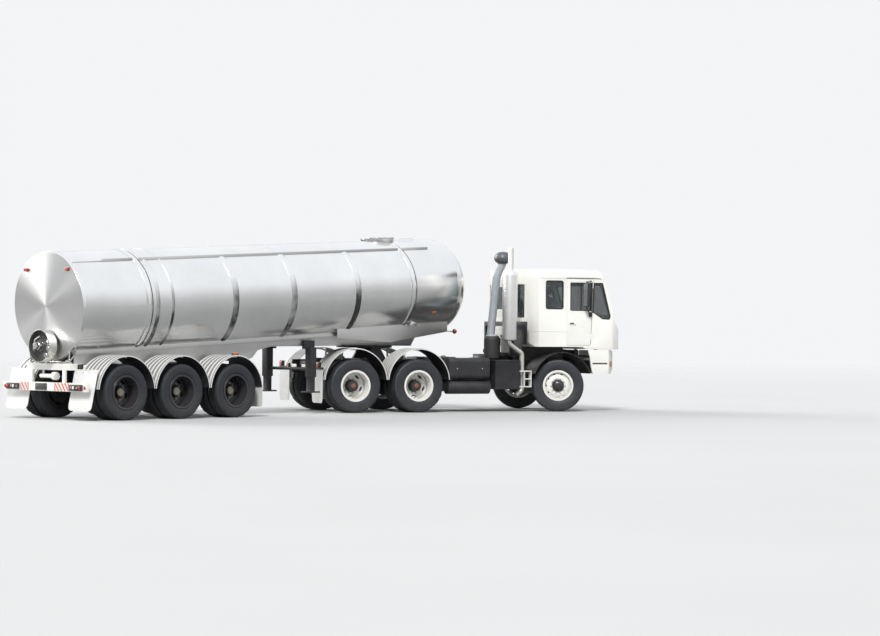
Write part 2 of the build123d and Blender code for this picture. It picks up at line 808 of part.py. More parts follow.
def door_glass(side):
    skin = cab_form(glass_inset) - cab_form(glass_inset + glass_thickness)
    low = min(side * 1100, side * 1400)
    high = max(side * 1100, side * 1400)
    return skin & side_plate(door_window(-seat_gap), (low, high))


mirror_x = 575
mirror_y = 1335


def door_mirror(side):
    head = box((mirror_x - 30, mirror_x + 30), (mirror_y - 95, mirror_y + 95), (2105, 2590))
    head = fillet(head.edges().filter_by(Axis.X), radius=30)
    top_z = 2630
    foot = (seam_x(1930) - 40, 1200 + seat_gap, 1930)
    crown = (seam_x(top_z) - 40, 1200 + seat_gap, top_z)
    arms = rod(foot, (mirror_x + 5, mirror_y, 2100), 11)
    arms = arms + rod(crown, (mirror_x + 5, mirror_y, 2595), 11)
    arms = arms + rod((mirror_x + 5, mirror_y, 2060), (mirror_x + 5, mirror_y, 2620), 15)
    shape = head + arms
    shape = shape - box((-500, 1500), (900, 1200 + seat_gap), (1000, 3000))
    return shape if side > 0 else mirrored(shape)


def cab_seats():
    seats = []
    for side in (1, -1):
        y = side * 760
        base = box((60, 520), (y - 200, y + 200), (cab_floor_z + cab_wall + seat_gap, 1560))
        cushion = box((40, 560), (y - 250, y + 250), (1560, 1690))
        back = side_plate([(20, 1640), (150, 1640), (60, 2330), (-60, 2330)], (y - 240, y + 240))
        head = side_plate([(-40, 2340), (50, 2340), (30, 2520), (-50, 2520)], (y - 130, y + 130))
        link = side_plate([(-30, 2320), (40, 2320), (40, 2350), (-30, 2350)], (y - 60, y + 60))
        seats.append(base + cushion + back + head + link)
    return seats


def dashboard():
    y = cab_half_width
    dash = side_plate([
        (1400, cab_floor_z + cab_wall + 20), (1400, 1760), (1215, 1850), (1000, 1850), (930, 1760), (960, 1640),
        (1150, 1600), (1150, cab_floor_z + cab_wall + 20),
    ], (-y, y))
    dash = dash & cab_form(cab_wall + seat_gap)
    column = rod((990, -760, 1700), (790, -760, 1877), 35)
    centre = Vector(790, -760, 1877)
    wheel = Plane(origin=centre, z_dir=(-0.75, 0, 0.66)) * Torus(225, 16)
    spoke = Plane(origin=centre, z_dir=(-0.75, 0, 0.66)) * Box(60, 430, 20)
    hub = Plane(origin=centre, z_dir=(-0.75, 0, 0.66)) * Cylinder(50, 40)
    return dash + column + wheel + spoke + hub


def front_grille():
    # A frame of slats on the cab's front panel.
    x = (cab_front_x + seat_gap, cab_front_x + 22)
    frame = box(x, (-760, 760), (1330, 1690)) - box((x[0] - 1, x[1] + 1), (-735, 735), (1355, 1665))
    for i in range(7):
        z = 1380 + i * 43
        frame = frame + box(x, (-740, 740), (z, z + 16))
    for y in (-380, 0, 380):
        frame = frame + box(x, (y - 8, y + 8), (1340, 1680))
    return frame


# Trailer, drawn with the kingpin at x = 0


def tank_place(shape):
    return Pos(0, 0, tank_axis_z) * Rot(0, -tank_slope, 0) * shape


def tank_line(x):
    # Height of the tank's axis above the ground at x.
    return tank_axis_z + x * math.tan(math.radians(tank_slope))


def lie_along_x(shape):
    # From an axis along Y to one along X.
    return Rot(0, 0, -90) * shape


def dish(radius, depth, knuckle_part):
    # A domed end: a crown arc and a tight edge arc, as a closed profile of radius and height.
    rim = depth * knuckle_part
    crown = ThreePointArc((0, depth), (radius * 0.52, depth * 0.86), (radius - rim * 0.55, rim * 1.02))
    edge = ThreePointArc((radius - rim * 0.55, rim * 1.02), (radius - rim * 0.12, rim * 0.52), (radius, 0))
    floor = [Line((radius, 0), (0, 0)), Line((0, 0), (0, depth))]
    return revolve(make_face([crown, edge, *floor]), axis=Axis.Y)


def tank_barrel():
    length = tank_front_x - tank_rear_x
    barrel = rod((tank_rear_x, 0, 0), (tank_front_x, 0, 0), tank_radius)
    nose = Pos(tank_front_x, 0, 0) * lie_along_x(dish(tank_radius, tank_front_depth, 0.55))
    tail = Pos(tank_rear_x, 0, 0) * Rot(0, 0, 180) * lie_along_x(dish(tank_radius, tank_rear_depth, 0.55))
    body = barrel + nose + tail
    return tank_place(body)


# x of each band round the tank, its width and how far it stands proud
hoops = [(-6530, 110, 16), (305, 110, 16)]


def tank_ring(x, width, proud, gap):
    inner = tank_radius + gap
    outer = tank_radius + proud
    ring = turned([(inner, x - width / 2), (outer, x - width / 2), (outer, x + width / 2), (inner, x + width / 2)])
    return lie_along_x(ring)


def tank_hoops():
    rings = []
    for x, width, proud in hoops:
        ring = tank_ring(x, width, proud, seat_gap)
        ring = ring - box((x - 200, x + 200), (-skirt_y - 20, skirt_y + 20), (-1200, -600))
        if abs(x - manhole_x) < manhole_radius + width:
            ring = ring - box((x - 200, x + 200), (-manhole_radius - 60, manhole_radius + 60), (600, 1200))
        rings.append(tank_place(ring))
    return rings


spill_angle = 38
spill_x = [(-7300, -6600), (-6460, 235), (375, 1100)]


def spill_rails():
    # A low upstand each side of the tank's top, curbing the walkway, broken at the bands.
    rails = []
    y = tank_radius * math.sin(math.radians(spill_angle))
    z = tank_radius * math.cos(math.radians(spill_angle))
    skin = rod((tank_rear_x - 10, 0, 0), (tank_front_x + 10, 0, 0), tank_radius + seat_gap)
    for x in spill_x:
        bar = box(x, (y - 6, y + 6), (z - 30, z + 50)) - skin
        rails.extend(both_sides(tank_place(bar)))
    return rails


lid_hinge_x = manhole_x - manhole_radius - 35


def manhole_collar():
    # The ring stands on the tank's skin. Two ears at its back hold the lid's pin.
    top = tank_radius + manhole_rise
    centre = Pos(manhole_x, 0, tank_radius - 100)
    ring = centre * Cylinder(manhole_radius, manhole_rise + 100, align=(Align.CENTER, Align.CENTER, Align.MIN))
    ring = ring - centre * Cylinder(manhole_radius - 40, 400, align=(Align.CENTER, Align.CENTER, Align.MIN))
    ear = box((lid_hinge_x - 25, manhole_x - manhole_radius + 20), (-70, -40), (tank_radius - 60, top + 20))
    for part in both_sides(ear):
        ring = ring + part
    ring = ring - rod((manhole_x - 500, 0, 0), (manhole_x + 500, 0, 0), tank_radius + seat_gap)
    pin = rod((lid_hinge_x, -70, top), (lid_hinge_x, 70, top), 10)
    return tank_place(ring + pin)


def manhole_lid():
    # A plate with a raised middle, on a knuckle round the pin.
    top = tank_radius + manhole_rise
    seat = Pos(manhole_x, 0, top + 3)
    lid = seat * Cylinder(manhole_radius + 8, 22, align=(Align.CENTER, Align.CENTER, Align.MIN))
    lid = lid + seat * Cylinder(manhole_radius * 0.6, 31, align=(Align.CENTER, Align.CENTER, Align.MIN))
    slot_x = (manhole_x - manhole_radius - 100, manhole_x - manhole_radius + 40)
    lid = lid - box(slot_x, (-85, -30), (top, top + 60)) - box(slot_x, (30, 85), (top, top + 60))
    tongue = box((lid_hinge_x, manhole_x - manhole_radius + 60), (-28, 28), (top + 3, top + 16))
    knuckle_ring = rod((lid_hinge_x, -28, top), (lid_hinge_x, 28, top), 17)
    bore = rod((lid_hinge_x, -80, top), (lid_hinge_x, 80, top), 10 + running_gap)
    return tank_place(lid + tongue + knuckle_ring - bore)


def ledge_z(x):
    # Where the rails' outer faces meet the round of the tank.
    drop = math.sqrt(tank_radius ** 2 - trailer_rail_y ** 2)
    return tank_line(x) - drop / math.cos(math.radians(tank_slope))


rear_frame_x = -7860
web_foot_x = -3800


def foot_z(x):
    # Underside of the rails over the axles.
    return 960 + (x - rear_frame_x) * 0.017


coupler_x = (-1250, 750)


def trailer_frame():
    # Side webs that follow the tank above and step up ahead of the axles, and skirts over the coupling.
    clear = tank_place(rod((tank_rear_x - 600, 0, 0), (tank_front_x + 600, 0, 0), tank_radius + seat_gap))
    front_x = 1580
    plate_z = coupling_z + coupler_thickness + seat_gap
    web_points = [
        (rear_frame_x, foot_z(rear_frame_x)), (web_foot_x, foot_z(web_foot_x)), (-3620, 1075), (-3480, 1215),
        (-3140, 1285), (coupler_x[0], plate_z), (coupler_x[1] - 50, plate_z), (820, 1482),
        (front_x, ledge_z(front_x) - 40), (front_x, ledge_z(front_x) + 60),
        (rear_frame_x, ledge_z(rear_frame_x) + 60),
    ]
    y = trailer_rail_y
    web = side_plate(web_points, (y - trailer_rail_wall, y))
    ledge = side_plate([
        (rear_frame_x, ledge_z(rear_frame_x) - 40), (front_x, ledge_z(front_x) - 40),
        (front_x, ledge_z(front_x) + 40), (rear_frame_x, ledge_z(rear_frame_x) + 40),
    ], (y - 30, y + 60))
    foot = side_plate([
        (rear_frame_x, foot_z(rear_frame_x)), (web_foot_x, foot_z(web_foot_x)),
        (web_foot_x, foot_z(web_foot_x) + 20), (rear_frame_x, foot_z(rear_frame_x) + 20),
    ], (y - trailer_rail_flange, y + 10))
    skirt = side_plate([
        (-1520, 1443), (-60, 1365), (1610, 1586), (1610, ledge_z(1610) + 140), (-1520, ledge_z(-1520) + 140),
    ], (skirt_y - 8, skirt_y))
    tie = side_plate([
        (-1400, ledge_z(-1400) - 40), (1500, ledge_z(1500) - 40), (1500, ledge_z(1500)), (-1400, ledge_z(-1400)),
    ], (y + 50, skirt_y - 4))
    right = web + ledge + foot + skirt + tie
    frame = right + mirrored(right)
    # x and top z of each cross-member
    members = [(-7700, 1010), (-6594, 1040), (-5298, 1080), (-4000, 1120), (-2190, 1420), (-1300, 1440)]
    for x, top in members:
        frame = frame + box((x - 50, x + 50), (-y + 2, y - 2), (top - 110, top))
    return frame - clear


def coupler_plate():
    plate = plan_plate([
        (coupler_x[0], -coupler_half_width), (600, -coupler_half_width), (coupler_x[1], -380), (coupler_x[1], 380),
        (600, coupler_half_width), (coupler_x[0], coupler_half_width),
    ], (coupling_z, coupling_z + coupler_thickness))
    pin = Pos(0, 0, coupling_z - 84) * Cylinder(25.4, 90, align=(Align.CENTER, Align.CENTER, Align.MIN))
    collar = Pos(0, 0, coupling_z - 84) * Cylinder(36, 18, align=(Align.CENTER, Align.CENTER, Align.MIN))
    collar = collar + Pos(0, 0, coupling_z - 30) * Cylinder(36, 30, align=(Align.CENTER, Align.CENTER, Align.MIN))
    return plate + pin + collar


def landing_legs():
    legs = []
    for side in (1, -1):
        y = side * leg_y
        tube = box((leg_x - leg_size / 2, leg_x + leg_size / 2), (y - leg_size / 2, y + leg_size / 2), (700, 1270))
        inner = box((leg_x - 58, leg_x + 58), (y - 58, y + 58), (430, 720))
        foot = box((leg_x - 130, leg_x + 130), (y - 130, y + 130), (405, 432))
        low = min(side * (trailer_rail_y + seat_gap), side * (leg_y - 40))
        high = max(side * (trailer_rail_y + seat_gap), side * (leg_y - 40))
        pad = box((leg_x - 140, leg_x + 140), (low, high), (1240, 1400))
        legs.append(tube + inner + foot + pad)
    brace = rod((leg_x, -leg_y, 860), (leg_x, leg_y, 860), 30)
    return legs[0] + legs[1] + brace


trailer_spring_y = 455


def trailer_axle(x):
    # The axle with a seat for each spring, and the springs on their hangers.
    z = trailer_tyre_radius
    face = twin_track_half - 250 - 6
    axle = rod((x, -face, z), (x, face, z), 64)
    axle = axle + rod((x, -twin_track_half - 90, z), (x, twin_track_half + 90, z), spindle_radius)
    springs = []
    for side in (1, -1):
        y = side * trailer_spring_y
        spring = leaf_spring(x, y, z + 250, 1060, 110, 76, 60)
        axle = axle + box((x - 60, x + 60), (y - 42, y + 42), (z + 40, z + 80 - seat_gap))
        for place in (x - 540, x + 540):
            spring = spring + box((place - 22, place + 22), (y - 46, y + 46), (z + 190, foot_z(place - 22) - seat_gap))
        springs.append(spring)
    return [axle] + springs


trailer_guard_radius = 640
trailer_guard_z = 490


def trailer_mudguards():
    # The left ones.
    guards = []
    for x in trailer_axle_x:
        one = Pos(x, 0, trailer_guard_z) * guard(trailer_guard_radius, guard_foot)
        arm_z = trailer_guard_z + trailer_guard_radius - guard_wall - guard_arm_radius + 3
        one = one + rod((x, trailer_rail_y + seat_gap, arm_z), (x, guard_y[1] - 40, arm_z), guard_arm_radius)
        guards.append(one)
    return guards


beam_x = (-8110, -8050)
beam_z = (505, 655)
shelf_z = (870, 985)
plate_y = (-90, 250)            # the number plate's holder on the beam


def rear_beam():
    beam = box(beam_x, (-1160, 1160), beam_z)
    for side in (1, -1):
        low = min(side * 420, side * 480)
        high = max(side * 420, side * 480)
        drop = box((beam_x[1] - 2, -8000), (low, high), (540, 980))
        beam = beam + drop
    beam = beam + box((beam_x[0] - 10, beam_x[0] + 1), plate_y, (beam_z[0] + 12, beam_z[1] - 12))
    shelf = box((-8030, rear_frame_x - seat_gap), (-600, 600), shelf_z)
    for side in (1, -1):
        x = rear_flap_x + 4
        beam = beam + rod((x, side * 590, shelf_z[0] + 9), (x, side * 1200, shelf_z[0] + 9), 9)
    return beam + shelf


rear_flap_x = -7900


def trailer_flaps():
    top = shelf_z[0] - seat_gap
    flap = side_plate([
        (rear_flap_x, top), (rear_flap_x + 8, top), (rear_flap_x - 142, 170), (rear_flap_x - 150, 170),
    ], (570, 1200))
    reach = math.sqrt((trailer_guard_radius + guard_band) ** 2 - guard_foot ** 2)
    front_x = trailer_axle_x[0] + reach + seat_gap
    small = box((front_x, front_x + 6), (700, 1190), (180, 560))
    return both_sides(flap) + both_sides(small)


hood_radius = 285
hood_x = (-8240, tank_rear_x - 20)
hood_z = 1290


def valve_hood():
    hood = rod((hood_x[0], 0, hood_z), (hood_x[1], 0, hood_z), hood_radius)
    hollow = rod((hood_x[0] - 1, 0, hood_z), (hood_x[1] - 80, 0, hood_z), hood_radius - 10)
    return hood - hollow - Pos(-seat_gap, 0, 0) * tank_barrel()


outlet_radius = 57              # outside of the spout that a hose coupling goes over
outlet_y = 60


def outlet_valve():
    x = hood_x[0]
    root = hood_x[1] - 80 - seat_gap
    spout = rod((x - 40, outlet_y, hood_z), (root, outlet_y, hood_z), outlet_radius)
    body = rod((x + 62, outlet_y, hood_z), (root, outlet_y, hood_z), 105)
    lever = box((x + 70, x + 84), (outlet_y, outlet_y + 190), (hood_z + 70, hood_z + 100))
    return spout + body + lever


def delivery_pipe():
    pipe = rod((-8010, 220, 765), (-8010, -140, 765), 38)
    cap = rod((-8010, -140, 765), (-8010, -215, 765), 72)
    drop = rod((-8010, 150, 765), (-8010, 150, shelf_z[0] - seat_gap), 18)
    return pipe + cap + drop


lamp_box_y = (700, 1060)


def trailer_lamps():
    lamps = []
    for side in (1, -1):
        low = min(side * lamp_box_y[0], side * lamp_box_y[1])
        high = max(side * lamp_box_y[0], side * lamp_box_y[1])
        lamps.append(box((beam_x[0] - 45, beam_x[0] - seat_gap), (low, high), (beam_z[0] + 15, beam_z[1] - 25)))
    return lamps


hub_size = {"drive": (118, 150, 5), "trailer": (96, 110, 5)}     # radius, length past the middle, hand holes
nodes = {}
bodies = {}


def add(body, name, shapes, place):
    flat = []
    stack = list(shapes) if isinstance(shapes, (list, tuple)) else [shapes]
    for shape in stack:
        flat.extend(shape.solids())
    nodes[name] = [place * solid for solid in flat]
    bodies.setdefault(body, []).append(name)


to_row = Pos(datum[0], datum[1], 0)
to_trailer = to_row * Pos(kingpin_x, 0, 0) * Rot(0, 0, trailer_yaw)


def build():
    flap_bracket, flap_sheets = tractor_flaps()
    add("tractor", "chassis_frame", chassis_frame(), to_row)
    add("tractor", "front_axle", front_axle(), to_row)
    add("tractor", "drive_axles", [drive_axle(x) for x in drive_axle_x] + bogie_springs(), to_row)
    add("tractor", "engine_block", engine_block(), to_row)
    add("tractor", "fifth_wheel", fifth_wheel(), to_row)
    add("tractor", "side_tanks", side_tanks(), to_row)
    add("tractor", "battery_box", battery_box(), to_row)
    add("tractor", "cab_steps", cab_steps(), to_row)
    add("tractor", "exhaust_stack", exhaust_stack(), to_row)
    add("tractor", "air_intake", air_intake(), to_row)
    left_guards = drive_mudguards() + [flap_bracket]
    add("tractor", "drive_mudguards_left", left_guards, to_row)
    add("tractor", "drive_mudguards_right", [mirrored(shape) for shape in left_guards], to_row)
    add("tractor", "front_arches", both_sides(front_arch()), to_row)
    add("tractor", "tractor_flaps", flap_sheets, to_row)
    add("tractor", "front_bumper", front_bumper(), to_row)
    add("tractor", "tractor_lamps", headlamps() + tractor_tail_lamps(), to_row)

    add("cab", "cab_shell", cab_shell(), to_row)
    add("cab", "cab_glass", cab_glass(), to_row)
    add("cab", "cab_seats", cab_seats(), to_row)
    add("cab", "dashboard", dashboard(), to_row)
    add("cab", "front_grille", front_grille(), to_row)
    for name, side in (("left", 1), ("right", -1)):
        add("door_" + name, "door_panel_" + name, door(side), to_row)
        add("door_" + name, "door_glass_" + name, door_glass(side), to_row)
        add("door_" + name, "mirror_" + name, door_mirror(side), to_row)

        pivot = to_row * Pos(front_axle_x, side * steer_pin_y, tractor_tyre_radius) * Rot(0, 0, steer_rest)
        arm = knuckle() if side > 0 else mirrored(knuckle())
        add("knuckle_" + name, "knuckle_" + name, arm, pivot)
        reach = front_track_half - steer_pin_y
        spot = pivot * wheel_place(0, reach, 0, side)
        wheel = [tyre(tractor_tyre_radius, front_tyre_width), front_rim()]
        add("front_wheel_" + name, "front_wheel_" + name, wheel, spot)

    sets = [
        ("drive", drive_axle_x, tractor_tyre_radius, to_row),
        ("trailer", trailer_axle_x, trailer_tyre_radius, to_trailer),
    ]
    for kind, places, radius, frame in sets:
        for i, x in enumerate(places):
            for name, side in (("left", 1), ("right", -1)):
                spot = frame * wheel_place(x, twin_track_half, radius, side)
                outer = Pos(0, twin_pitch / 2, 0) * tyre(radius, twin_tyre_width)
                inner = Pos(0, -twin_pitch / 2, 0) * tyre(radius, twin_tyre_width)
                hub = twin_rim(*hub_size[kind])
                label = kind + "_wheel_" + str(i + 1) + "_" + name
                add(label, label, [outer, inner, hub], spot)

    add("trailer", "tank_barrel", tank_barrel(), to_trailer)
    add("trailer", "tank_hoops", tank_hoops(), to_trailer)
    add("trailer", "spill_rails", spill_rails(), to_trailer)
    add("trailer", "manhole_collar", manhole_collar(), to_trailer)
    add("trailer", "trailer_frame", trailer_frame(), to_trailer)
    add("trailer", "coupler_plate", coupler_plate(), to_trailer)
    add("trailer", "landing_legs", landing_legs(), to_trailer)
    axles = []
    for x in trailer_axle_x:
        axles.extend(trailer_axle(x))
    add("trailer", "trailer_axles", axles, to_trailer)
    left_guards = trailer_mudguards()
    add("trailer", "trailer_mudguards_left", left_guards, to_trailer)
    add("trailer", "trailer_mudguards_right", [mirrored(shape) for shape in left_guards], to_trailer)
    add("trailer", "trailer_flaps", trailer_flaps(), to_trailer)
    add("trailer", "rear_beam", [rear_beam(), delivery_pipe()], to_trailer)
    add("trailer", "valve_hood", [valve_hood(), outlet_valve()], to_trailer)
    add("trailer", "trailer_lamps", trailer_lamps(), to_trailer)
    add("manhole", "manhole_lid", manhole_lid(), to_trailer)


build()
os.makedirs("parts", exist_ok=True)
for name, solids in nodes.items():
    shape = solids[0] if len(solids) == 1 else Compound(children=solids)
    export_step(shape, "parts/" + name + ".step")
print(len(nodes), "nodes in", len(bodies), "bodies")
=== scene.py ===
import json
import math

import bmesh
import bpy
from mathutils import Matrix, Vector

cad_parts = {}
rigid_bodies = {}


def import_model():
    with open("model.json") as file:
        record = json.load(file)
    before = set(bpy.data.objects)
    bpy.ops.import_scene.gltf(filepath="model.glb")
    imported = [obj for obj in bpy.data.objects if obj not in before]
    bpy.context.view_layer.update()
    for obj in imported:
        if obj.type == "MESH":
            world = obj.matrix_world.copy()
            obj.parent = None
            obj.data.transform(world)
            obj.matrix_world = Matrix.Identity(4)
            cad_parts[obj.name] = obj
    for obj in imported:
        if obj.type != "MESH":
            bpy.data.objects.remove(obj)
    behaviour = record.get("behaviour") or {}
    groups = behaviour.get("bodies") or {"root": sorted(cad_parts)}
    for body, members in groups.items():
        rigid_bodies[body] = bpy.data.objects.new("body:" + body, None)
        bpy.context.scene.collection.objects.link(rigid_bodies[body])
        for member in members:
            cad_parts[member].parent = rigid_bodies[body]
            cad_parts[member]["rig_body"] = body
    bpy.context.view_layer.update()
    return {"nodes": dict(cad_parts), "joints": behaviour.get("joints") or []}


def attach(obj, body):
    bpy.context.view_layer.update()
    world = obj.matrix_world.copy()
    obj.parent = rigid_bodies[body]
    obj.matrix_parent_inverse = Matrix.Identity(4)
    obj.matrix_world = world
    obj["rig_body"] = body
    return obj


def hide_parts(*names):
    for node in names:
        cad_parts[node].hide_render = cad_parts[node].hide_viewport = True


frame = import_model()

# Places read from the frame: the tractor's own frame has its front axle at x = frontAxleAt, and the trailer's has its
# kingpin at 0

frontAxleAt = 0.130
joints = {j["name"]: j for j in frame["joints"]}


def jointPlace(name):
    return Vector(joints[name]["pos_m"])


def axleHeading(name):
    axis = joints[name]["axis"]
    return math.atan2(-axis[0], axis[1])


steerLeft = jointPlace("steer_left")
steerRight = jointPlace("steer_right")
kingpin = jointPlace("trailer_yaw")
trailerYaw = axleHeading("trailer_spin_1_left")
tractorFrame = Matrix.Translation((steerLeft.x - frontAxleAt, (steerLeft.y + steerRight.y) / 2, 0))
trailerFrame = Matrix.Translation((kingpin.x, kingpin.y, 0)) @ Matrix.Rotation(trailerYaw, 4, "Z")

tankShape = {"axisHeight": 2.421, "slope": 3.1, "radius": 0.958, "rear": -8.042, "front": 1.665, "frontDepth": 0.350}
tankFrame = (trailerFrame @ Matrix.Translation((0, 0, tankShape["axisHeight"]))
             @ Matrix.Rotation(math.radians(-tankShape["slope"]), 4, "Y"))


sides = (("left", 1), ("right", -1))


def wheelFrame(spinJoint, side):
    # local +Y points out of the vehicle
    turn = axleHeading(spinJoint) + (0 if side > 0 else math.pi)
    return Matrix.Translation(jointPlace(spinJoint)) @ Matrix.Rotation(turn, 4, "Z")


print("stage: frame loaded")


# Mesh making

axisOrder = {     # where the outline's u and v and the thickness t go
    "x": lambda u, v, t: (t, u, v), "y": lambda u, v, t: (u, t, v), "z": lambda u, v, t: (u, v, t),
}


def onCircle(radius, angle, y):
    # a point round the local Y axis
    return (radius * math.sin(angle), y, radius * math.cos(angle))


def around(count, offset=0.0):
    # evenly spaced angles of a full turn
    return [2 * math.pi * (i + offset) / count for i in range(count)]


def colourFaces(faces, mat):
    for face in faces:
        face.material_index = mat
        face.smooth = True


def bridgeRings(bm, ringA, ringB, mat):
    count = len(ringA)
    made = []
    for i in range(count):
        j = (i + 1) % count
        made.append(bm.faces.new((ringA[i], ringA[j], ringB[j], ringB[i])))
    colourFaces(made, mat)


def capEnds(bm, rings, mat):
    colourFaces([bm.faces.new(rings[0][::-1]), bm.faces.new(rings[-1])], mat)


def putInPlace(bm, place, verts):
    if place is not None:
        bmesh.ops.transform(bm, matrix=place, verts=verts)


def bevelAll(bm, verts, width, mat):
    if width:
        edges = list({e for v in verts for e in v.link_edges})
        result = bmesh.ops.bevel(bm, geom=edges, offset=width, segments=2, affect="EDGES", profile=0.5)
        colourFaces(result["faces"], mat)


def addBox(bm, low, high, mat=0, bevel=0.0, place=None):
    # a box between two opposite corners, given in any order
    made = bmesh.ops.create_cube(bm, size=1.0)["verts"]
    bmesh.ops.scale(bm, vec=[abs(b - a) for a, b in zip(low, high)], verts=made)
    bmesh.ops.translate(bm, vec=[(a + b) / 2 for a, b in zip(low, high)], verts=made)
    putInPlace(bm, place, made)
    colourFaces(list({f for v in made for f in v.link_faces}), mat)
    bevelAll(bm, made, bevel, mat)


def addLathe(bm, profile, mat=0, segments=48, place=None, wave=None):
    # profile is (radius, y) round the local Y axis; mat is one index or one for each span; wave changes a radius
    rings = []
    for radius, y in profile:
        if radius < 1e-6:
            rings.append([bm.verts.new((0, y, 0))])
            continue
        ring = []
        for i, angle in enumerate(around(segments)):
            ring.append(bm.verts.new(onCircle(wave(i, radius, y) if wave else radius, angle, y)))
        rings.append(ring)
    for k, (a, b) in enumerate(zip(rings, rings[1:])):
        spanMat = mat if isinstance(mat, int) else mat[k]
        if len(a) == len(b) > 1:
            bridgeRings(bm, a, b, spanMat)
        elif len(a) != len(b):
            centre, rim = (a[0], b) if len(a) == 1 else (b[0], a)
            colourFaces([bm.faces.new((centre, rim[i], rim[(i + 1) % segments])) for i in range(segments)], spanMat)
    putInPlace(bm, place, [v for ring in rings for v in ring])
    return rings


def addHoop(bm, profile, mat, segments, wave=None):
    # a lathe whose profile is a closed loop
    rings = addLathe(bm, profile, mat, segments, None, wave)
    bridgeRings(bm, rings[-1], rings[0], mat)


def alongAxis(start, end):
    # a frame at start whose Y runs to end, and the distance
    run = Vector(end) - Vector(start)
    return Matrix.Translation(start) @ run.to_track_quat("Y", "Z").to_matrix().to_4x4(), run.length


def addRod(bm, start, end, radius, mat=0, segments=16, soft=0.0):
    place, length = alongAxis(start, end)
    soft = min(soft, radius * 0.5, length * 0.3)
    rim = [(radius, 0), (radius, length)]
    if soft:
        rim = [(radius - soft, 0), (radius, soft), (radius, length - soft), (radius - soft, length)]
    addLathe(bm, [(0, 0), *rim, (0, length)], mat, segments, place)


def cornerArc(before, corner, after, radius, steps, share):
    # the points that turn one corner into an arc, which takes up at most this share of each side
    inward, outward = (before - corner).normalized(), (after - corner).normalized()
    half = (math.pi - inward.angle(outward)) / 2
    reach = min(radius * math.tan(half), (before - corner).length * share, (after - corner).length * share)
    if reach < 1e-5:
        return [corner]
    a, b = corner + inward * reach, corner + outward * reach
    return [a.lerp(corner, k / steps).lerp(corner.lerp(b, k / steps), k / steps) for k in range(steps + 1)]


def roundedPath(points, radius, steps=6):
    # a route with its corners turned into arcs
    points = [Vector(p) for p in points]
    path = [points[0]]
    for before, corner, after in zip(points, points[1:], points[2:]):
        path += cornerArc(before, corner, after, radius, steps, 0.48)
    return path + [points[-1]]


def roundedOutline(points, radius, steps=4):
    # a closed outline with its corners turned into arcs, of one radius or one for each corner
    out = []
    for i in range(len(points)):
        before, corner, after = (Vector((*points[(i + k) % len(points)], 0)) for k in (-1, 0, 1))
        size = radius[i] if isinstance(radius, (list, tuple)) else radius
        out += [(p.x, p.y) for p in cornerArc(before, corner, after, size, steps, 0.45)]
    return out


def offsetOutline(points, reach):
    # a closed outline moved outward by reach, or inward where reach is negative
    area = sum(a[0] * b[1] - b[0] * a[1] for a, b in zip(points, points[1:] + points[:1]))
    turn = 1 if area > 0 else -1
    out = []
    for i in range(len(points)):
        before, corner, after = (Vector(points[(i + k) % len(points)]) for k in (-1, 0, 1))
        arrive, leave = (corner - before).normalized(), (after - corner).normalized()
        normal = Vector((arrive.y, -arrive.x)) * turn
        mean = (normal + Vector((leave.y, -leave.x)) * turn).normalized()
        out.append(tuple(corner + mean * reach / max(mean.dot(normal), 0.3)))
    return out


def addTube(bm, path, radius, mat=0, segments=14):
    path = [Vector(p) for p in path]
    rings = []
    normal = None
    for k, point in enumerate(path):
        ahead = (path[min(k + 1, len(path) - 1)] - path[max(k - 1, 0)]).normalized()
        if normal is None:
            normal = ahead.orthogonal().normalized()
        normal = (normal - ahead * normal.dot(ahead)).normalized()
        side = ahead.cross(normal)
        ring = [point + (normal * math.cos(a) + side * math.sin(a)) * radius for a in around(segments)]
        rings.append([bm.verts.new(p) for p in ring])
    for a, b in zip(rings, rings[1:]):
        bridgeRings(bm, a, b, mat)
    capEnds(bm, rings, mat)


def addPrism(bm, points, axis, low, high, mat=0, bevel=0.0):
    # a flat outline made thick along "x", "y" or "z"
    near, far = ([bm.verts.new(axisOrder[axis](u, v, t)) for u, v in points] for t in (low, high))
    capEnds(bm, (near, far), mat)
    bridgeRings(bm, near, far, mat)
    bevelAll(bm, near + far, bevel, mat)


def addFrame(bm, outer, inner, axis, low, high, mat=0, place=None):
    # the ring between two outlines of as many points, made thick along "x", "y" or "z"
    rings = []
    for outline, t in ((outer, low), (inner, low), (inner, high), (outer, high)):
        rings.append([bm.verts.new(axisOrder[axis](u, v, t)) for u, v in outline])
    for a, b in zip(rings, rings[1:] + rings[:1]):
        bridgeRings(bm, a, b, mat)
    putInPlace(bm, place, [v for ring in rings for v in ring])


def addBand(bm, loop, start, end, steps, mat=0, place=None):
    # a closed profile (radius, y) swept round local Y between two angles, closed at both ends
    rings = []
    for i in range(steps + 1):
        angle = start + (end - start) * i / steps
        rings.append([bm.verts.new(onCircle(radius, angle, y)) for radius, y in loop])
    for a, b in zip(rings, rings[1:]):
        bridgeRings(bm, a, b, mat)
    capEnds(bm, rings, mat)
    putInPlace(bm, place, [v for ring in rings for v in ring])


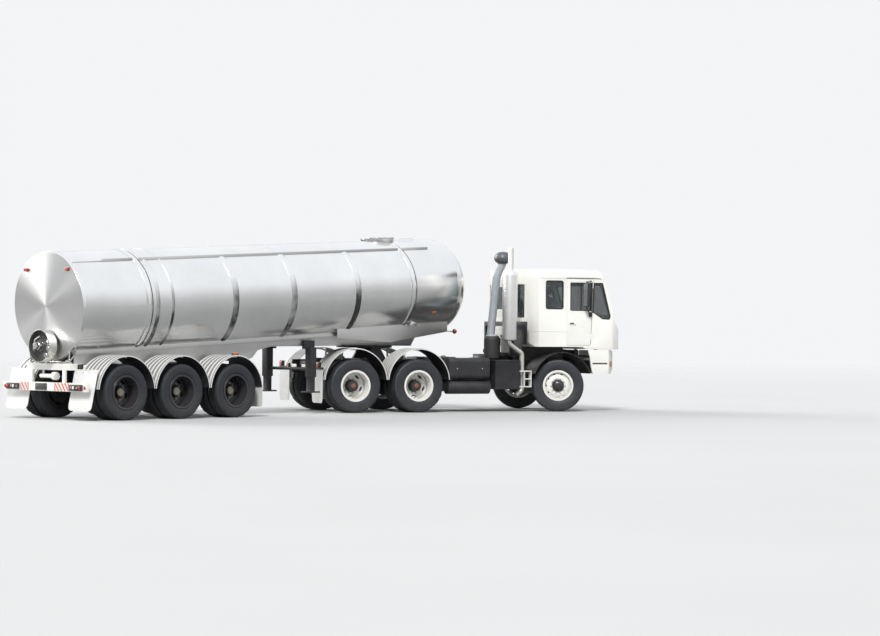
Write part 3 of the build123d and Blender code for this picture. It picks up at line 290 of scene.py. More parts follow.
def holedRing(bm, inner, outer, holes, holeLong, holeWide, holeAt, thick, mat=0, steps=10):
    # a disc band between two profile points (radius, y), pierced by rounded holes; its back face lies thick behind
    wide, rise = outer[0] - inner[0], outer[1] - inner[1]

    def onBand(radius, angle, drop):
        return bm.verts.new(onCircle(radius, angle, inner[1] + rise * ((radius - inner[0]) / wide) + drop))

    layers = []
    for drop in (0.0, -thick):
        rims = []
        for start, end in zip(around(holes), around(holes, 1)):
            sweep, middle = end - start, (start + end) / 2
            shares = [k / steps for k in range(steps)]
            walk = [(inner[0], start + sweep * t) for t in shares] + [(inner[0] + wide * t, end) for t in shares]
            walk += [(outer[0], end - sweep * t) for t in shares] + [(outer[0] - wide * t, start) for t in shares]
            border, rim = [], []
            for radius, angle in walk:
                border.append(onBand(radius, angle, drop))
                along, across = (angle - middle) / (sweep / 2), (radius - (inner[0] + outer[0]) / 2) / (wide / 2)
                size = max(math.hypot(along, across), 1e-6)
                turn = middle + along / size * holeLong / 2 / holeAt
                rim.append(onBand(holeAt + across / size * holeWide / 2, turn, drop))
            bridgeRings(bm, border, rim, mat)
            rims.append(rim)
        layers.append(rims)
    for front, back in zip(*layers):
        bridgeRings(bm, front, back, mat)


def hexNut(bm, centre, direction, across, height, mat=0):
    place, length = alongAxis(centre, Vector(centre) + Vector(direction) * height)
    profile = [(0, 0), (across / 2, 0), (across / 2, length * 0.8), (across * 0.4, length), (0, length)]
    addLathe(bm, profile, mat, 6, place)


def finishMesh(name, bm, finish, smoothAngle):
    # finish names the materials, in the order of the faces' indices
    bmesh.ops.recalc_face_normals(bm, faces=bm.faces[:])
    mesh = bpy.data.meshes.new(name)
    bm.to_mesh(mesh)
    bm.free()
    for material in finish.split():
        mesh.materials.append(materials[material])
    mesh.set_sharp_from_angle(angle=math.radians(smoothAngle))
    return mesh


def addObject(name, data):
    made = bpy.data.objects.new(name, data)
    bpy.context.scene.collection.objects.link(made)
    return made


def placeMesh(name, mesh, place, body, replaced=()):
    piece = addObject(name, mesh)
    piece.matrix_world = place
    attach(piece, body)
    if replaced:
        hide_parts(*replaced)
    return piece


def finishPiece(name, bm, place, body, finish, replaced=(), smoothAngle=38):
    return placeMesh(name, finishMesh(name, bm, finish, smoothAngle), place, body, replaced)


def softened(node, finish, width, chooser, fine=None):
    # a copy of a CAD piece with its edges rounded, those that fine picks only by a hair
    source = frame["nodes"][node]
    bm = bmesh.new()
    bm.from_mesh(source.data)
    bmesh.ops.remove_doubles(bm, verts=bm.verts[:], dist=0.00005)
    bmesh.ops.dissolve_limit(bm, angle_limit=math.radians(1.0), verts=bm.verts[:], edges=bm.edges[:])
    for pick, size in ((fine, 0.0015), (lambda edge: not fine or not fine(edge), width)):
        if pick:
            folds = [e for e in bm.edges if len(e.link_faces) == 2 and e.calc_face_angle(0) > math.radians(28)]
            sharp = [e for e in folds if pick(e)]
            bmesh.ops.bevel(bm, geom=sharp, offset=size, segments=3, affect="EDGES", profile=0.5, clamp_overlap=True)
    for face in bm.faces:
        face.smooth = True
        face.material_index = chooser(face)
    finishPiece(node + ".dressed", bm, Matrix.Identity(4), source["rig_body"], finish, [node], 32)


# Shader nodes: one helper makes a node, sets its options and fills its sockets with values or links


def fill(tree, socket, given):
    if isinstance(given, bpy.types.NodeSocket):
        tree.links.new(given, socket)
    elif isinstance(given, (tuple, list)) and socket.type == "RGBA":
        socket.default_value = (*given[:3], 1.0)
    else:
        socket.default_value = given


def addNode(tree, kind, inputs=(), **options):
    # inputs are (socket name or number, value or socket)
    node = tree.nodes.new("ShaderNode" + kind)
    for option, value in options.items():
        setattr(node, option, value)
    for label, given in inputs:
        fill(tree, node.inputs[label], given)
    return node


def onObject(tree):
    return addNode(tree, "TexCoord").outputs["Object"]


def noiseOver(tree, scale, detail, roughness, vector=None):
    inputs = [("Scale", scale), ("Detail", detail), ("Roughness", roughness), ("Vector", vector or onObject(tree))]
    return addNode(tree, "TexNoise", inputs).outputs["Fac"]


def ranged(tree, value, low, high, outLow=0.0, outHigh=1.0):
    inputs = [("Value", value), ("From Min", low), ("From Max", high), ("To Min", outLow), ("To Max", outHigh)]
    return addNode(tree, "MapRange", inputs).outputs["Result"]


def maths(tree, kind, a, b):
    return addNode(tree, "Math", [(0, a), (1, b)], operation=kind).outputs[0]


def mixColour(tree, factor, a, b):
    return addNode(tree, "Mix", [(0, factor), (6, a), (7, b)], data_type="RGBA").outputs[2]


def bumped(tree, height, strength, distance, normal=None):
    inputs = [("Strength", strength), ("Distance", distance), ("Height", height)]
    if normal:
        inputs.append(("Normal", normal))
    return addNode(tree, "Bump", inputs).outputs["Normal"]


# Shader groups: each gives colours, masks or normals to any material

socketKinds = {     # of the sockets that aren't plain numbers
    "Paint": "NodeSocketColor", "Film": "NodeSocketColor", "Under": "NodeSocketColor", "Colour": "NodeSocketColor",
    "Stretch": "NodeSocketVector", "Normal": "NodeSocketVector",
}


def newGroup(name, inputs, outputs):
    tree = bpy.data.node_groups.new(name, "ShaderNodeTree")
    for label, value in inputs.items():
        kind = socketKinds.get(label, "NodeSocketFloat")
        made = tree.interface.new_socket(name=label, in_out="INPUT", socket_type=kind)
        made.default_value = (*value, 1) if kind == "NodeSocketColor" else value
    for label in outputs:
        tree.interface.new_socket(name=label, in_out="OUTPUT", socket_type=socketKinds.get(label, "NodeSocketFloat"))
    return tree, tree.nodes.new("NodeGroupInput").outputs, tree.nodes.new("NodeGroupOutput").inputs


def makeDustAndShadeFilm():
    # dust that is thicker low down and in blotches; the tank's materials use it to paint shade on the lower half
    tree, given, out = newGroup("dustAndShadeFilm", {"Paint": (0.8, 0.8, 0.8), "Film": (0.3, 0.27, 0.22), "Amount": 0.3,
                                             "Scale": 3.0, "Low": 0.3, "High": 1.6, "Everywhere": 0.2},
                                ["Colour", "Mask"])
    height = addNode(tree, "SeparateXYZ", [(0, onObject(tree))]).outputs["Z"]
    height = maths(tree, "MAXIMUM", ranged(tree, height, given["Low"], given["High"], 1.0, 0.0), given["Everywhere"])
    patch = ranged(tree, noiseOver(tree, given["Scale"], 6.0, 0.62), 0.32, 0.72, 0.25, 1.0)
    mask = maths(tree, "MULTIPLY", maths(tree, "MULTIPLY", height, patch), given["Amount"])
    fill(tree, out["Colour"], mixColour(tree, mask, given["Paint"], given["Film"]))
    fill(tree, out["Mask"], mask)
    return tree


def makeToneShift():
    # slow changes of tone over a surface
    tree, given, out = newGroup("toneShift", {"Paint": (0.8, 0.8, 0.8), "Scale": 2.0, "Amount": 0.08},
                                ["Colour", "Value"])
    value = ranged(tree, noiseOver(tree, given["Scale"], 5.0, 0.6), 0.3, 0.7)
    shade = maths(tree, "SUBTRACT", 1.0, maths(tree, "MULTIPLY", value, given["Amount"]))
    tone = addNode(tree, "HueSaturation", [("Color", given["Paint"]), ("Value", shade)])
    fill(tree, out["Colour"], tone.outputs["Color"])
    fill(tree, out["Value"], value)
    return tree


def makeSurfaceGrain():
    # fine bumps: orange peel on paint, grain on rubber and plastic
    tree, given, out = newGroup("surfaceGrain", {"Scale": 300.0, "Strength": 0.1, "Depth": 0.001}, ["Normal", "Value"])
    noise = noiseOver(tree, given["Scale"], 3.0, 0.5)
    fill(tree, out["Normal"], bumped(tree, noise, given["Strength"], given["Depth"]))
    fill(tree, out["Value"], noise)
    return tree


def makeRolledSheet():
    # sheet metal: lines of the rolling mill along one way, and soft shallow dents
    tree, given, out = newGroup("rolledSheet", {"Stretch": (1.0, 60.0, 60.0), "Lines": 6.0, "Dents": 0.7,
                                                "Dent Depth": 0.004, "Line Depth": 0.0003}, ["Normal", "Streak"])
    scaled = addNode(tree, "VectorMath", [(0, onObject(tree)), (1, given["Stretch"])], operation="MULTIPLY").outputs[0]
    lines = noiseOver(tree, given["Lines"], 3.0, 0.6, scaled)
    soft = bumped(tree, noiseOver(tree, given["Dents"], 2.0, 0.45), 1.0, given["Dent Depth"])
    fill(tree, out["Normal"], bumped(tree, lines, 0.6, given["Line Depth"], soft))
    fill(tree, out["Streak"], lines)
    return tree


def makeChips():
    # small chips and scuffs as a mask
    tree, given, out = newGroup("chips", {"Paint": (0.8, 0.8, 0.8), "Under": (0.2, 0.1, 0.06), "Scale": 40.0,
                                          "Amount": 0.2}, ["Colour", "Mask"])
    spots = ranged(tree, noiseOver(tree, given["Scale"], 8.0, 0.7), 0.64, 0.70)
    zone = ranged(tree, noiseOver(tree, 3.0, 2.0, 0.5), 0.5, 0.65)
    mask = maths(tree, "MULTIPLY", maths(tree, "MULTIPLY", spots, zone), given["Amount"])
    fill(tree, out["Colour"], mixColour(tree, mask, given["Paint"], given["Under"]))
    fill(tree, out["Mask"], mask)
    return tree


groups = {
    "dustAndShadeFilm": makeDustAndShadeFilm(), "toneShift": makeToneShift(), "surfaceGrain": makeSurfaceGrain(),
    "rolledSheet": makeRolledSheet(), "chips": makeChips(),
}


def useGroup(tree, name, **values):
    node = tree.nodes.new("ShaderNodeGroup")
    node.node_tree = groups[name]
    for key, value in values.items():
        label = {"dentDepth": "Dent Depth", "lineDepth": "Line Depth"}.get(key, key.capitalize())
        fill(tree, node.inputs[label], value)
    return node.outputs


# Finishes


def newMaterial(name):
    material = bpy.data.materials.new(name)
    material.use_nodes = True
    tree = material.node_tree
    tree.nodes.clear()
    shader = addNode(tree, "BsdfPrincipled")
    addNode(tree, "OutputMaterial", [("Surface", shader.outputs["BSDF"])])
    return material, tree, shader.inputs


dustTone = (0.32, 0.29, 0.24)


def paintedMetal(name, colour, rough=(0.28, 0.42), film=0.35, low=0.4, high=1.7, everywhere=0.10, coat=0.4,
                 chip=0.0, peel=0.06, shift=0.06):
    material, tree, shader = newMaterial(name)
    tone = useGroup(tree, "toneShift", paint=colour, scale=1.3, amount=shift)
    paint = tone["Colour"]
    if chip:
        paint = useGroup(tree, "chips", paint=paint, under=(0.10, 0.08, 0.07), scale=55.0, amount=chip)["Colour"]
    dustAndShade = useGroup(tree, "dustAndShadeFilm", paint=paint, film=dustTone, amount=film, scale=4.0, low=low, high=high,
                    everywhere=everywhere)
    wear = maths(tree, "ADD", dustAndShade["Mask"], maths(tree, "MULTIPLY", tone["Value"], 0.3))
    fill(tree, shader["Base Color"], dustAndShade["Colour"])
    fill(tree, shader["Roughness"], ranged(tree, wear, 0.0, 1.0, rough[0], rough[1] + 0.25))
    fill(tree, shader["Normal"], useGroup(tree, "surfaceGrain", scale=420.0, strength=peel, depth=0.001)["Normal"])
    shader["Coat Weight"].default_value = coat
    shader["Coat Roughness"].default_value = 0.12
    return material


def sheetMetal(name, colour, rough=(0.2, 0.36), stretch=(1.0, 60.0, 60.0), dents=0.7, dentDepth=0.004, film=0.2,
               low=0.4, high=1.6, everywhere=0.1, lineDepth=0.0002, dustAndShadeColour=(0.30, 0.29, 0.27)):
    material, tree, shader = newMaterial(name)
    rolled = useGroup(tree, "rolledSheet", stretch=stretch, dents=dents, dentDepth=dentDepth, lineDepth=lineDepth)
    tone = useGroup(tree, "toneShift", paint=colour, scale=0.9, amount=0.10)
    # the film darkens the lower part: road dust on most parts, painted shade on the tank and its bands
    dustAndShade = useGroup(tree, "dustAndShadeFilm", paint=tone["Colour"], film=dustAndShadeColour, amount=film, scale=2.2, low=low, high=high,
                    everywhere=everywhere)
    wear = maths(tree, "ADD", maths(tree, "MULTIPLY", rolled["Streak"], 0.6), dustAndShade["Mask"])
    fill(tree, shader["Base Color"], dustAndShade["Colour"])
    fill(tree, shader["Normal"], rolled["Normal"])
    fill(tree, shader["Roughness"], ranged(tree, wear, 0.0, 1.0, *rough))
    fill(tree, shader["Metallic"], ranged(tree, dustAndShade["Mask"], 0.0, 1.0, 1.0, 0.35))
    return material


def spunMetal(name, colour, rough=(0.32, 0.36)):
    # a disc turned on a lathe, its fine rings round X
    material, tree, shader = newMaterial(name)
    rolled = useGroup(tree, "rolledSheet", stretch=(1.0, 1.0, 1.0), dents=0.8, dentDepth=0.006, lineDepth=0.0)
    # the film makes the head darker towards the bottom
    dustAndShade = useGroup(tree, "dustAndShadeFilm", paint=colour, film=(0.34, 0.335, 0.32), amount=0.34, scale=2.2, low=-0.95,
                    high=0.0, everywhere=0.10)
    fill(tree, shader["Tangent"], addNode(tree, "Tangent", direction_type="RADIAL", axis="X").outputs[0])
    fill(tree, shader["Base Color"], dustAndShade["Colour"])
    fill(tree, shader["Normal"], rolled["Normal"])
    fill(tree, shader["Roughness"], ranged(tree, dustAndShade["Mask"], 0.0, 1.0, rough[0], rough[1] + 0.2))
    shader["Anisotropic"].default_value = 0.8
    shader["Anisotropic Rotation"].default_value = 0.25
    shader["Metallic"].default_value = 1.0
    return material


def softStuff(name, colour, rough=(0.55, 0.8), grainScale=260.0, grainStrength=0.25, film=0.3, low=0.2, high=1.4,
              everywhere=0.2, shift=0.15, sheen=0.0):
    # rubber, plastic and cloth
    material, tree, shader = newMaterial(name)
    tone = useGroup(tree, "toneShift", paint=colour, scale=5.0, amount=shift)
    dustAndShade = useGroup(tree, "dustAndShadeFilm", paint=tone["Colour"], film=dustTone, amount=film, scale=7.0, low=low, high=high,
                    everywhere=everywhere)
    grain = useGroup(tree, "surfaceGrain", scale=grainScale, strength=grainStrength, depth=0.002)
    wear = maths(tree, "ADD", dustAndShade["Mask"], maths(tree, "MULTIPLY", grain["Value"], 0.5))
    fill(tree, shader["Base Color"], dustAndShade["Colour"])
    fill(tree, shader["Normal"], grain["Normal"])
    fill(tree, shader["Roughness"], ranged(tree, wear, 0.0, 1.0, *rough))
    shader["Sheen Weight"].default_value = sheen
    return material


def clearGlass(name, colour, alpha=0.45):
    material, tree, shader = newMaterial(name)
    dustAndShade = useGroup(tree, "dustAndShadeFilm", paint=colour, film=(0.5, 0.5, 0.48), amount=0.12, scale=3.0, low=1.9, high=2.3,
                    everywhere=0.2)
    fill(tree, shader["Base Color"], dustAndShade["Colour"])
    fill(tree, shader["Roughness"], ranged(tree, dustAndShade["Mask"], 0.0, 1.0, 0.03, 0.4))
    fill(tree, shader["Alpha"], ranged(tree, dustAndShade["Mask"], 0.0, 1.0, alpha, 0.9))
    shader["Specular IOR Level"].default_value = 0.7
    return material


def lampLens(name, colour):
    # ribbed coloured plastic over a bright back
    material, tree, shader = newMaterial(name)
    ribs = addNode(tree, "TexWave", [("Scale", 60.0), ("Distortion", 0.6), ("Vector", onObject(tree))]).outputs["Fac"]
    fill(tree, shader["Base Color"], mixColour(tree, ribs, tuple(c * 0.55 for c in colour), colour))
    fill(tree, shader["Normal"], bumped(tree, ribs, 0.4, 0.002))
    fill(tree, shader["Roughness"], ranged(tree, ribs, 0.0, 1.0, 0.1, 0.25))
    shader["Coat Weight"].default_value = 0.6
    return material


finishes = {     # maker, colour and the values that differ from the maker's own
    "cabWhite": (paintedMetal, (0.84, 0.835, 0.80), dict(film=0.14, low=1.0, high=1.9, everywhere=0.05)),
    "frameBlack": (paintedMetal, (0.011, 0.012, 0.017), dict(rough=(0.42, 0.6), film=0.10, low=0.2, high=1.5,
                                                             everywhere=0.12, coat=0.0, chip=0.35, peel=0.2)),
    "guardWhite": (paintedMetal, (0.70, 0.705, 0.70), dict(rough=(0.34, 0.5), film=0.24, high=1.3, everywhere=0.14,
                                                           coat=0.1, peel=0.15, shift=0.12)),
    # dark grey for the guards' groove bottoms: painted shade in the grooves, with dust
    "guardGroove": (paintedMetal, (0.20, 0.20, 0.20), dict(rough=(0.5, 0.7), film=0.4, high=1.3, everywhere=0.3,
                                                           coat=0.0, peel=0.2)),
    "seamGrey": (paintedMetal, (0.20, 0.20, 0.19), dict(rough=(0.5, 0.7), film=0.2, low=1.0, high=2.0, coat=0.0)),
    "rimWhite": (paintedMetal, (0.78, 0.775, 0.74), dict(rough=(0.32, 0.5), film=0.15, low=-0.3, high=0.5,
                                                         everywhere=0.20, coat=0.1, shift=0.12)),
    "rimBlack": (paintedMetal, (0.016, 0.016, 0.022), dict(rough=(0.22, 0.4), film=0.10, low=-0.3, high=0.5,
                                                           everywhere=0.3, coat=0.5)),
    # painted shade for the inside of the valve hood
    "boxDark": (paintedMetal, (0.055, 0.057, 0.055), dict(rough=(0.35, 0.55), film=0.15, coat=0.0, chip=0.3)),
    "engineIron": (paintedMetal, (0.055, 0.058, 0.060), dict(rough=(0.5, 0.7), low=0.3, high=1.6, everywhere=0.4,
                                                             coat=0.0, chip=0.6, peel=0.4)),
    "stripeRed": (paintedMetal, (0.62, 0.13, 0.09), dict(rough=(0.35, 0.5), film=0.25, high=0.8, coat=0.2)),
    "capTan": (paintedMetal, (0.30, 0.27, 0.20), dict(rough=(0.35, 0.5), film=0.3, low=-0.3, high=0.5,
                                                      everywhere=0.4, coat=0.0)),
    "hubRust": (paintedMetal, (0.20, 0.055, 0.03), dict(rough=(0.5, 0.7), film=0.3, low=-0.5, high=0.5,
                                                        everywhere=0.3, coat=0.0, chip=0.5)),
    # the tank's film darkens its lower half: painted shade standing in for the ground's darker reflection, laid on as
    # road dust
    "tankSteel": (sheetMetal, (0.86, 0.862, 0.86), dict(rough=(0.18, 0.27), dents=0.55, dentDepth=0.010, film=0.40,
                                                        low=-0.95, high=0.0, everywhere=0.05)),
    # the bands are painted near black from the bottom up to just above the tank's middle: a painted dark reflection
    "bandSteel": (sheetMetal, (0.86, 0.862, 0.86), dict(rough=(0.14, 0.24), stretch=(60.0, 1.0, 1.0), dents=2.0,
                                                        dentDepth=0.002, film=1.5, low=-0.20, high=0.40,
                                                        everywhere=0.0, dustAndShadeColour=(0.035, 0.04, 0.036))),
    "headSteel": (spunMetal, (0.84, 0.84, 0.835), {}),
    "hoopSteel": (sheetMetal, (0.88, 0.88, 0.87), dict(rough=(0.08, 0.16), stretch=(60.0, 1.0, 1.0), dents=2.0,
                                                       dentDepth=0.002, film=0.15, low=-0.95, high=-0.2)),
    "brightSteel": (sheetMetal, (0.72, 0.72, 0.71), dict(rough=(0.14, 0.3), dents=3.0, dentDepth=0.002, film=0.15,
                                                         low=0.3, high=1.4)),
    "frameSilver": (sheetMetal, (0.70, 0.705, 0.69), dict(rough=(0.3, 0.46), dents=1.5, dentDepth=0.003, film=0.4,
                                                          low=0.9, high=1.9, everywhere=0.2)),
    "hoodSteel": (sheetMetal, (0.74, 0.74, 0.72), dict(rough=(0.22, 0.34), dents=6.0, dentDepth=0.003, film=0.3,
                                                       low=0.9, high=1.7)),
    "shieldSteel": (sheetMetal, (0.86, 0.86, 0.85), dict(rough=(0.36, 0.50), stretch=(60.0, 60.0, 1.0), dents=4.0,
                                                         dentDepth=0.002, film=0.12, low=0.5, high=1.8)),
    "pipePale": (sheetMetal, (0.84, 0.82, 0.77), dict(rough=(0.34, 0.5), dents=6.0, dentDepth=0.002, film=0.5,
                                                      low=0.3, high=1.4)),
    "mirrorGlass": (sheetMetal, (0.80, 0.82, 0.84), dict(rough=(0.03, 0.30), dentDepth=0.0, film=0.75, everywhere=0.9,
                                                         lineDepth=0.0, dustAndShadeColour=(0.70, 0.74, 0.77))),
    "nutSteel": (sheetMetal, (0.60, 0.59, 0.57), dict(rough=(0.3, 0.5), dents=20.0, dentDepth=0.001, film=0.4,
                                                      low=-0.5, high=0.5, everywhere=0.3)),
    "ductGrey": (softStuff, (0.30, 0.34, 0.36), dict(rough=(0.35, 0.55), grainScale=160.0, grainStrength=0.1,
                                                     film=0.2, low=0.3, high=1.6)),
    "tyreRubber": (softStuff, (0.017, 0.020, 0.026), dict(rough=(0.5, 0.78), grainScale=180.0, grainStrength=0.35,
                                                          film=0.08, low=-0.5, high=0.3, everywhere=0.25)),
    "bowlGrey": (softStuff, (0.085, 0.095, 0.105), dict(rough=(0.35, 0.5), grainStrength=0.1, film=0.1, low=0.3,
                                                        high=1.6)),
    # black rubber, and on the tank hoops painted shade for the gap at their front edge
    "blackRubber": (softStuff, (0.018, 0.018, 0.020), dict(film=0.15, high=1.6)),
    "flapWhite": (softStuff, (0.72, 0.73, 0.72), dict(rough=(0.4, 0.6), grainStrength=0.1, film=0.38, low=0.15,
                                                      high=0.9, everywhere=0.15, shift=0.1)),
    "blackPlastic": (softStuff, (0.022, 0.023, 0.026), dict(rough=(0.4, 0.6), grainScale=500.0, film=0.12, low=0.8,
                                                            high=2.0)),
    "dashPlastic": (softStuff, (0.13, 0.12, 0.11), dict(rough=(0.5, 0.7), grainScale=500.0, film=0.05, low=1.2,
                                                        high=2.0)),
    "seatCloth": (softStuff, (0.09, 0.10, 0.13), dict(rough=(0.75, 0.95), grainScale=700.0, grainStrength=0.5,
                                                      film=0.05, low=1.2, high=2.0, sheen=0.3)),
    "windowGlass": (clearGlass, (0.045, 0.055, 0.060), {}),
    "lensRed": (lampLens, (0.55, 0.035, 0.02), {}),
    "lensAmber": (lampLens, (0.78, 0.24, 0.03), {}),
    "lensClear": (lampLens, (0.78, 0.78, 0.74), {}),
}
materials = {name: maker(name, colour, **values) for name, (maker, colour, values) in finishes.items()}

print("stage: materials", len(materials))


# Wheels

tyreLook = {
    "segments": 96, "treadDepth": 0.0245, "shoulder": 0.30,
    "grooves": (-0.27, -0.09, 0.09, 0.27), "grooveWidth": 0.010, "grooveDepth": 0.011,
    "shoulderCut": 0.009, "middleCut": 0.006,
}
rimLook = {"segments": 72, "flange": 0.308, "seat": 0.284, "edgeShare": 0.42, "footShare": 0.36}


def tyreProfile(radius, width, bead=0.2843):
    half = width / 2
    wall = []
    for r, share in ((bead, 0.72), (bead + 0.012, 0.78), (bead + 0.024, 0.80), (bead + 0.034, 0.90),
                     (bead + 0.060, 0.965), ((radius + bead) / 2 - 0.02, 0.995), ((radius + bead) / 2 + 0.03, 1.0),
                     (radius - 0.075, 0.985), (radius - 0.066, 0.992), (radius - 0.050, 0.965),
                     (radius - 0.036, 0.965), (radius - 0.024, 0.93), (radius - 0.008, 0.86)):
        wall.append((r, half * share))
    tread = []
    depth, groove = tyreLook["grooveDepth"], tyreLook["grooveWidth"] / 2
    for share in reversed(tyreLook["grooves"]):
        y = width * share
        crown = radius - 0.004 * (abs(share) / 0.4) ** 2
        tread += [(crown, y + groove * 1.3), (crown - depth, y + groove * 0.8), (crown - depth, y - groove * 0.8),
                  (crown, y - groove * 1.3)]
    return wall + tread + [(r, -y) for r, y in reversed(wall)]


def addTyre(bm, radius, width, middle, blocky):
    look = tyreLook

    def tread(i, r, y):
        # cross cuts in the shoulders, and all over a drive tyre
        outer = abs(y - middle) > width * look["shoulder"]
        first = 1 if (y - middle > 0) == blocky else 2
        cut = i % 3 == first and i % 2 == 0 or (outer and i % 4 == 0)
        if r > radius - look["treadDepth"] and (outer or blocky) and cut:
            return r - (look["shoulderCut"] if outer else look["middleCut"])
        return r

    addHoop(bm, [(r, y + middle) for r, y in tyreProfile(radius, width)], 0, look["segments"], tread)


def addRimBarrel(bm, width, middle, mat):
    flange, seat = rimLook["flange"], rimLook["seat"]
    edge, foot = width * rimLook["edgeShare"], width * rimLook["footShare"]
    half = [(flange - 0.004, edge + 0.012), (flange, edge + 0.008), (flange, edge + 0.002),
            (seat + 0.004, foot + 0.011)]
    outside = [(seat - 0.002, foot), (seat - 0.002, -foot)]
    inside = [(seat - 0.014, -edge - 0.010), (seat - 0.020, -foot), (seat - 0.030, -0.03), (seat - 0.030, 0.03),
              (seat - 0.020, foot), (seat - 0.014, edge + 0.010)]
    loop = half + outside + [(r, -y) for r, y in reversed(half)] + inside
    addHoop(bm, [(r, y + middle) for r, y in loop], mat, rimLook["segments"])


frontWheelLook = {
    "width": 0.280, "radius": 0.522, "holes": 10, "holeAt": 0.233, "holeLong": 0.046, "holeWide": 0.026,
    "nuts": 10, "nutRing": 0.142, "capRadius": 0.082, "capNuts": 8, "capNutRing": 0.100,
}


def frontWheelMesh():
    # materials: tyre, rim, cap, studs, drum
    look = frontWheelLook
    bm = bmesh.new()
    addTyre(bm, look["radius"], look["width"], 0.0, False)
    addRimBarrel(bm, look["width"], 0.0, 1)
    addLathe(bm, [(0.266, 0.020), (0.268, 0.034), (0.258, 0.052)], 1, 80)   # weld to the barrel
    holedRing(bm, (0.208, 0.090), (0.258, 0.052), look["holes"], look["holeLong"], look["holeWide"], look["holeAt"],
              0.010, 1)
    addLathe(bm, [(0.208, 0.090), (0.195, 0.095), (0.150, 0.096), (0.128, 0.092), (0.120, 0.086)], 1, 80)
    addLathe(bm, [(0.208, 0.080), (0.150, 0.084), (0.120, 0.078), (0.120, -0.044)], 1, 60)
    cap = look["capRadius"]
    addLathe(bm, [(0.120, 0.086), (0.118, 0.122), (0.108, 0.130), (cap + 0.012, 0.131), (cap + 0.006, 0.136),
                  (cap, 0.158), (cap - 0.010, 0.166), (cap * 0.5, 0.171), (0, 0.173)], 2, 48)
    for angle in around(look["nuts"], 0.5):
        seat, foot, face, stud, tip = (onCircle(look["nutRing"], angle, y) for y in (0.094, 0.098, 0.100, 0.110, 0.124))
        addRod(bm, seat, face, 0.019, 1, 16)
        hexNut(bm, foot, (0, 1, 0), 0.030, 0.018, 1)
        addRod(bm, stud, tip, 0.009, 3, 8)
    for angle in around(look["capNuts"]):
        hexNut(bm, onCircle(look["capNutRing"], angle, 0.130), (0, 1, 0), 0.015, 0.009, 2)
    addLathe(bm, [(0.038, -0.044), (0.205, -0.044), (0.208, -0.030), (0.208, 0.018), (0.190, 0.020), (0.190, -0.020),
                  (0.120, -0.020)], 4, 48)
    return bm


twinLook = {
    "drive": {"radius": 0.522, "hub": 0.105, "hubOut": 0.150, "capShare": 0.45},
    "trailer": {"radius": 0.490, "hub": 0.088, "hubOut": 0.110, "capShare": 0.80},
    "width": 0.262, "pitch": 0.318, "nuts": 10, "nutRing": 0.142, "capNuts": 8,
    "holes": 5, "holeLong": 0.112, "holeWide": 0.050, "holeAt": 0.212,
}


def twinWheelMesh(kind):
    # materials: tyre, rim, hub, hub cap, nuts, drum
    look, part = twinLook, twinLook[kind]
    bm = bmesh.new()
    for side in (1, -1):
        middle = side * look["pitch"] / 2
        addTyre(bm, part["radius"], look["width"], middle, kind == "drive")
        addRimBarrel(bm, look["width"], middle, 1)
        foot, face, edge = 0.012 * side, 0.018 * side, 0.028 * side
        addLathe(bm, [(0.262, 0.0528 * side), (0.266, 0.0264 * side), (0.250, edge)], 1, 80)
        holedRing(bm, (0.178, face), (0.250, edge), look["holes"], look["holeLong"], look["holeWide"], look["holeAt"],
                  0.010 * side, 1)
        addLathe(bm, [(0.178, face), (0.165, foot), (0.090, foot)], 1, 60)
    hub, reach = part["hub"], part["hubOut"]
    cap = hub * part["capShare"]
    addLathe(bm, [(0.124, 0.012), (0.122, 0.030), (hub + 0.010, 0.040), (hub, 0.060), (hub, reach - 0.012),
                  (hub - 0.008, reach), (cap, reach + 0.002), (cap * 0.95, reach + 0.014),
                  (cap * 0.62, reach + 0.020), (0, reach + 0.021)], [2, 2, 2, 2, 2, 2, 3, 3, 3], 48)
    for angle in around(look["capNuts"]):
        hexNut(bm, onCircle(hub * 0.88, angle, reach), (0, 1, 0), 0.015, 0.010, 2)
    for angle in around(look["nuts"], 0.5):
        foot, stud, tip = (onCircle(look["nutRing"], angle, y) for y in (0.012, 0.036, 0.052))
        hexNut(bm, foot, (0, 1, 0), 0.032, 0.026, 4)
        addRod(bm, stud, tip, 0.010, 4, 8)
    addLathe(bm, [(0.040, -0.252), (0.210, -0.250), (0.215, -0.240), (0.215, -0.062), (0.198, -0.060), (0.110, -0.060),
                  (0.110, -0.010)], 5, 48)
    return bm


def makeWheels():
    frontMesh = finishMesh("frontWheel", frontWheelMesh(), "tyreRubber rimWhite rimBlack nutSteel frameBlack", 34)
    driveMesh = finishMesh("driveWheel", twinWheelMesh("drive"),
                           "tyreRubber rimWhite frameBlack hubRust nutSteel frameBlack", 34)
    trailerMesh = finishMesh("trailerWheel", twinWheelMesh("trailer"),
                             "tyreRubber rimBlack rimBlack capTan nutSteel frameBlack", 34)
    for name, side in sides:
        node = "front_wheel_" + name
        placeMesh("frontWheel." + name, frontMesh, wheelFrame("front_spin_" + name, side), node, [node])
        for kind, mesh, count in (("drive", driveMesh, 2), ("trailer", trailerMesh, 3)):
            for i in range(1, count + 1):
                node = f"{kind}_wheel_{i}_{name}"
                place = wheelFrame(f"{kind}_spin_{i}_{name}", side)
                placeMesh(f"{kind}Wheel{i}.{name}", mesh, place, node, [node])


makeWheels()
print("stage: wheels")


# Tank

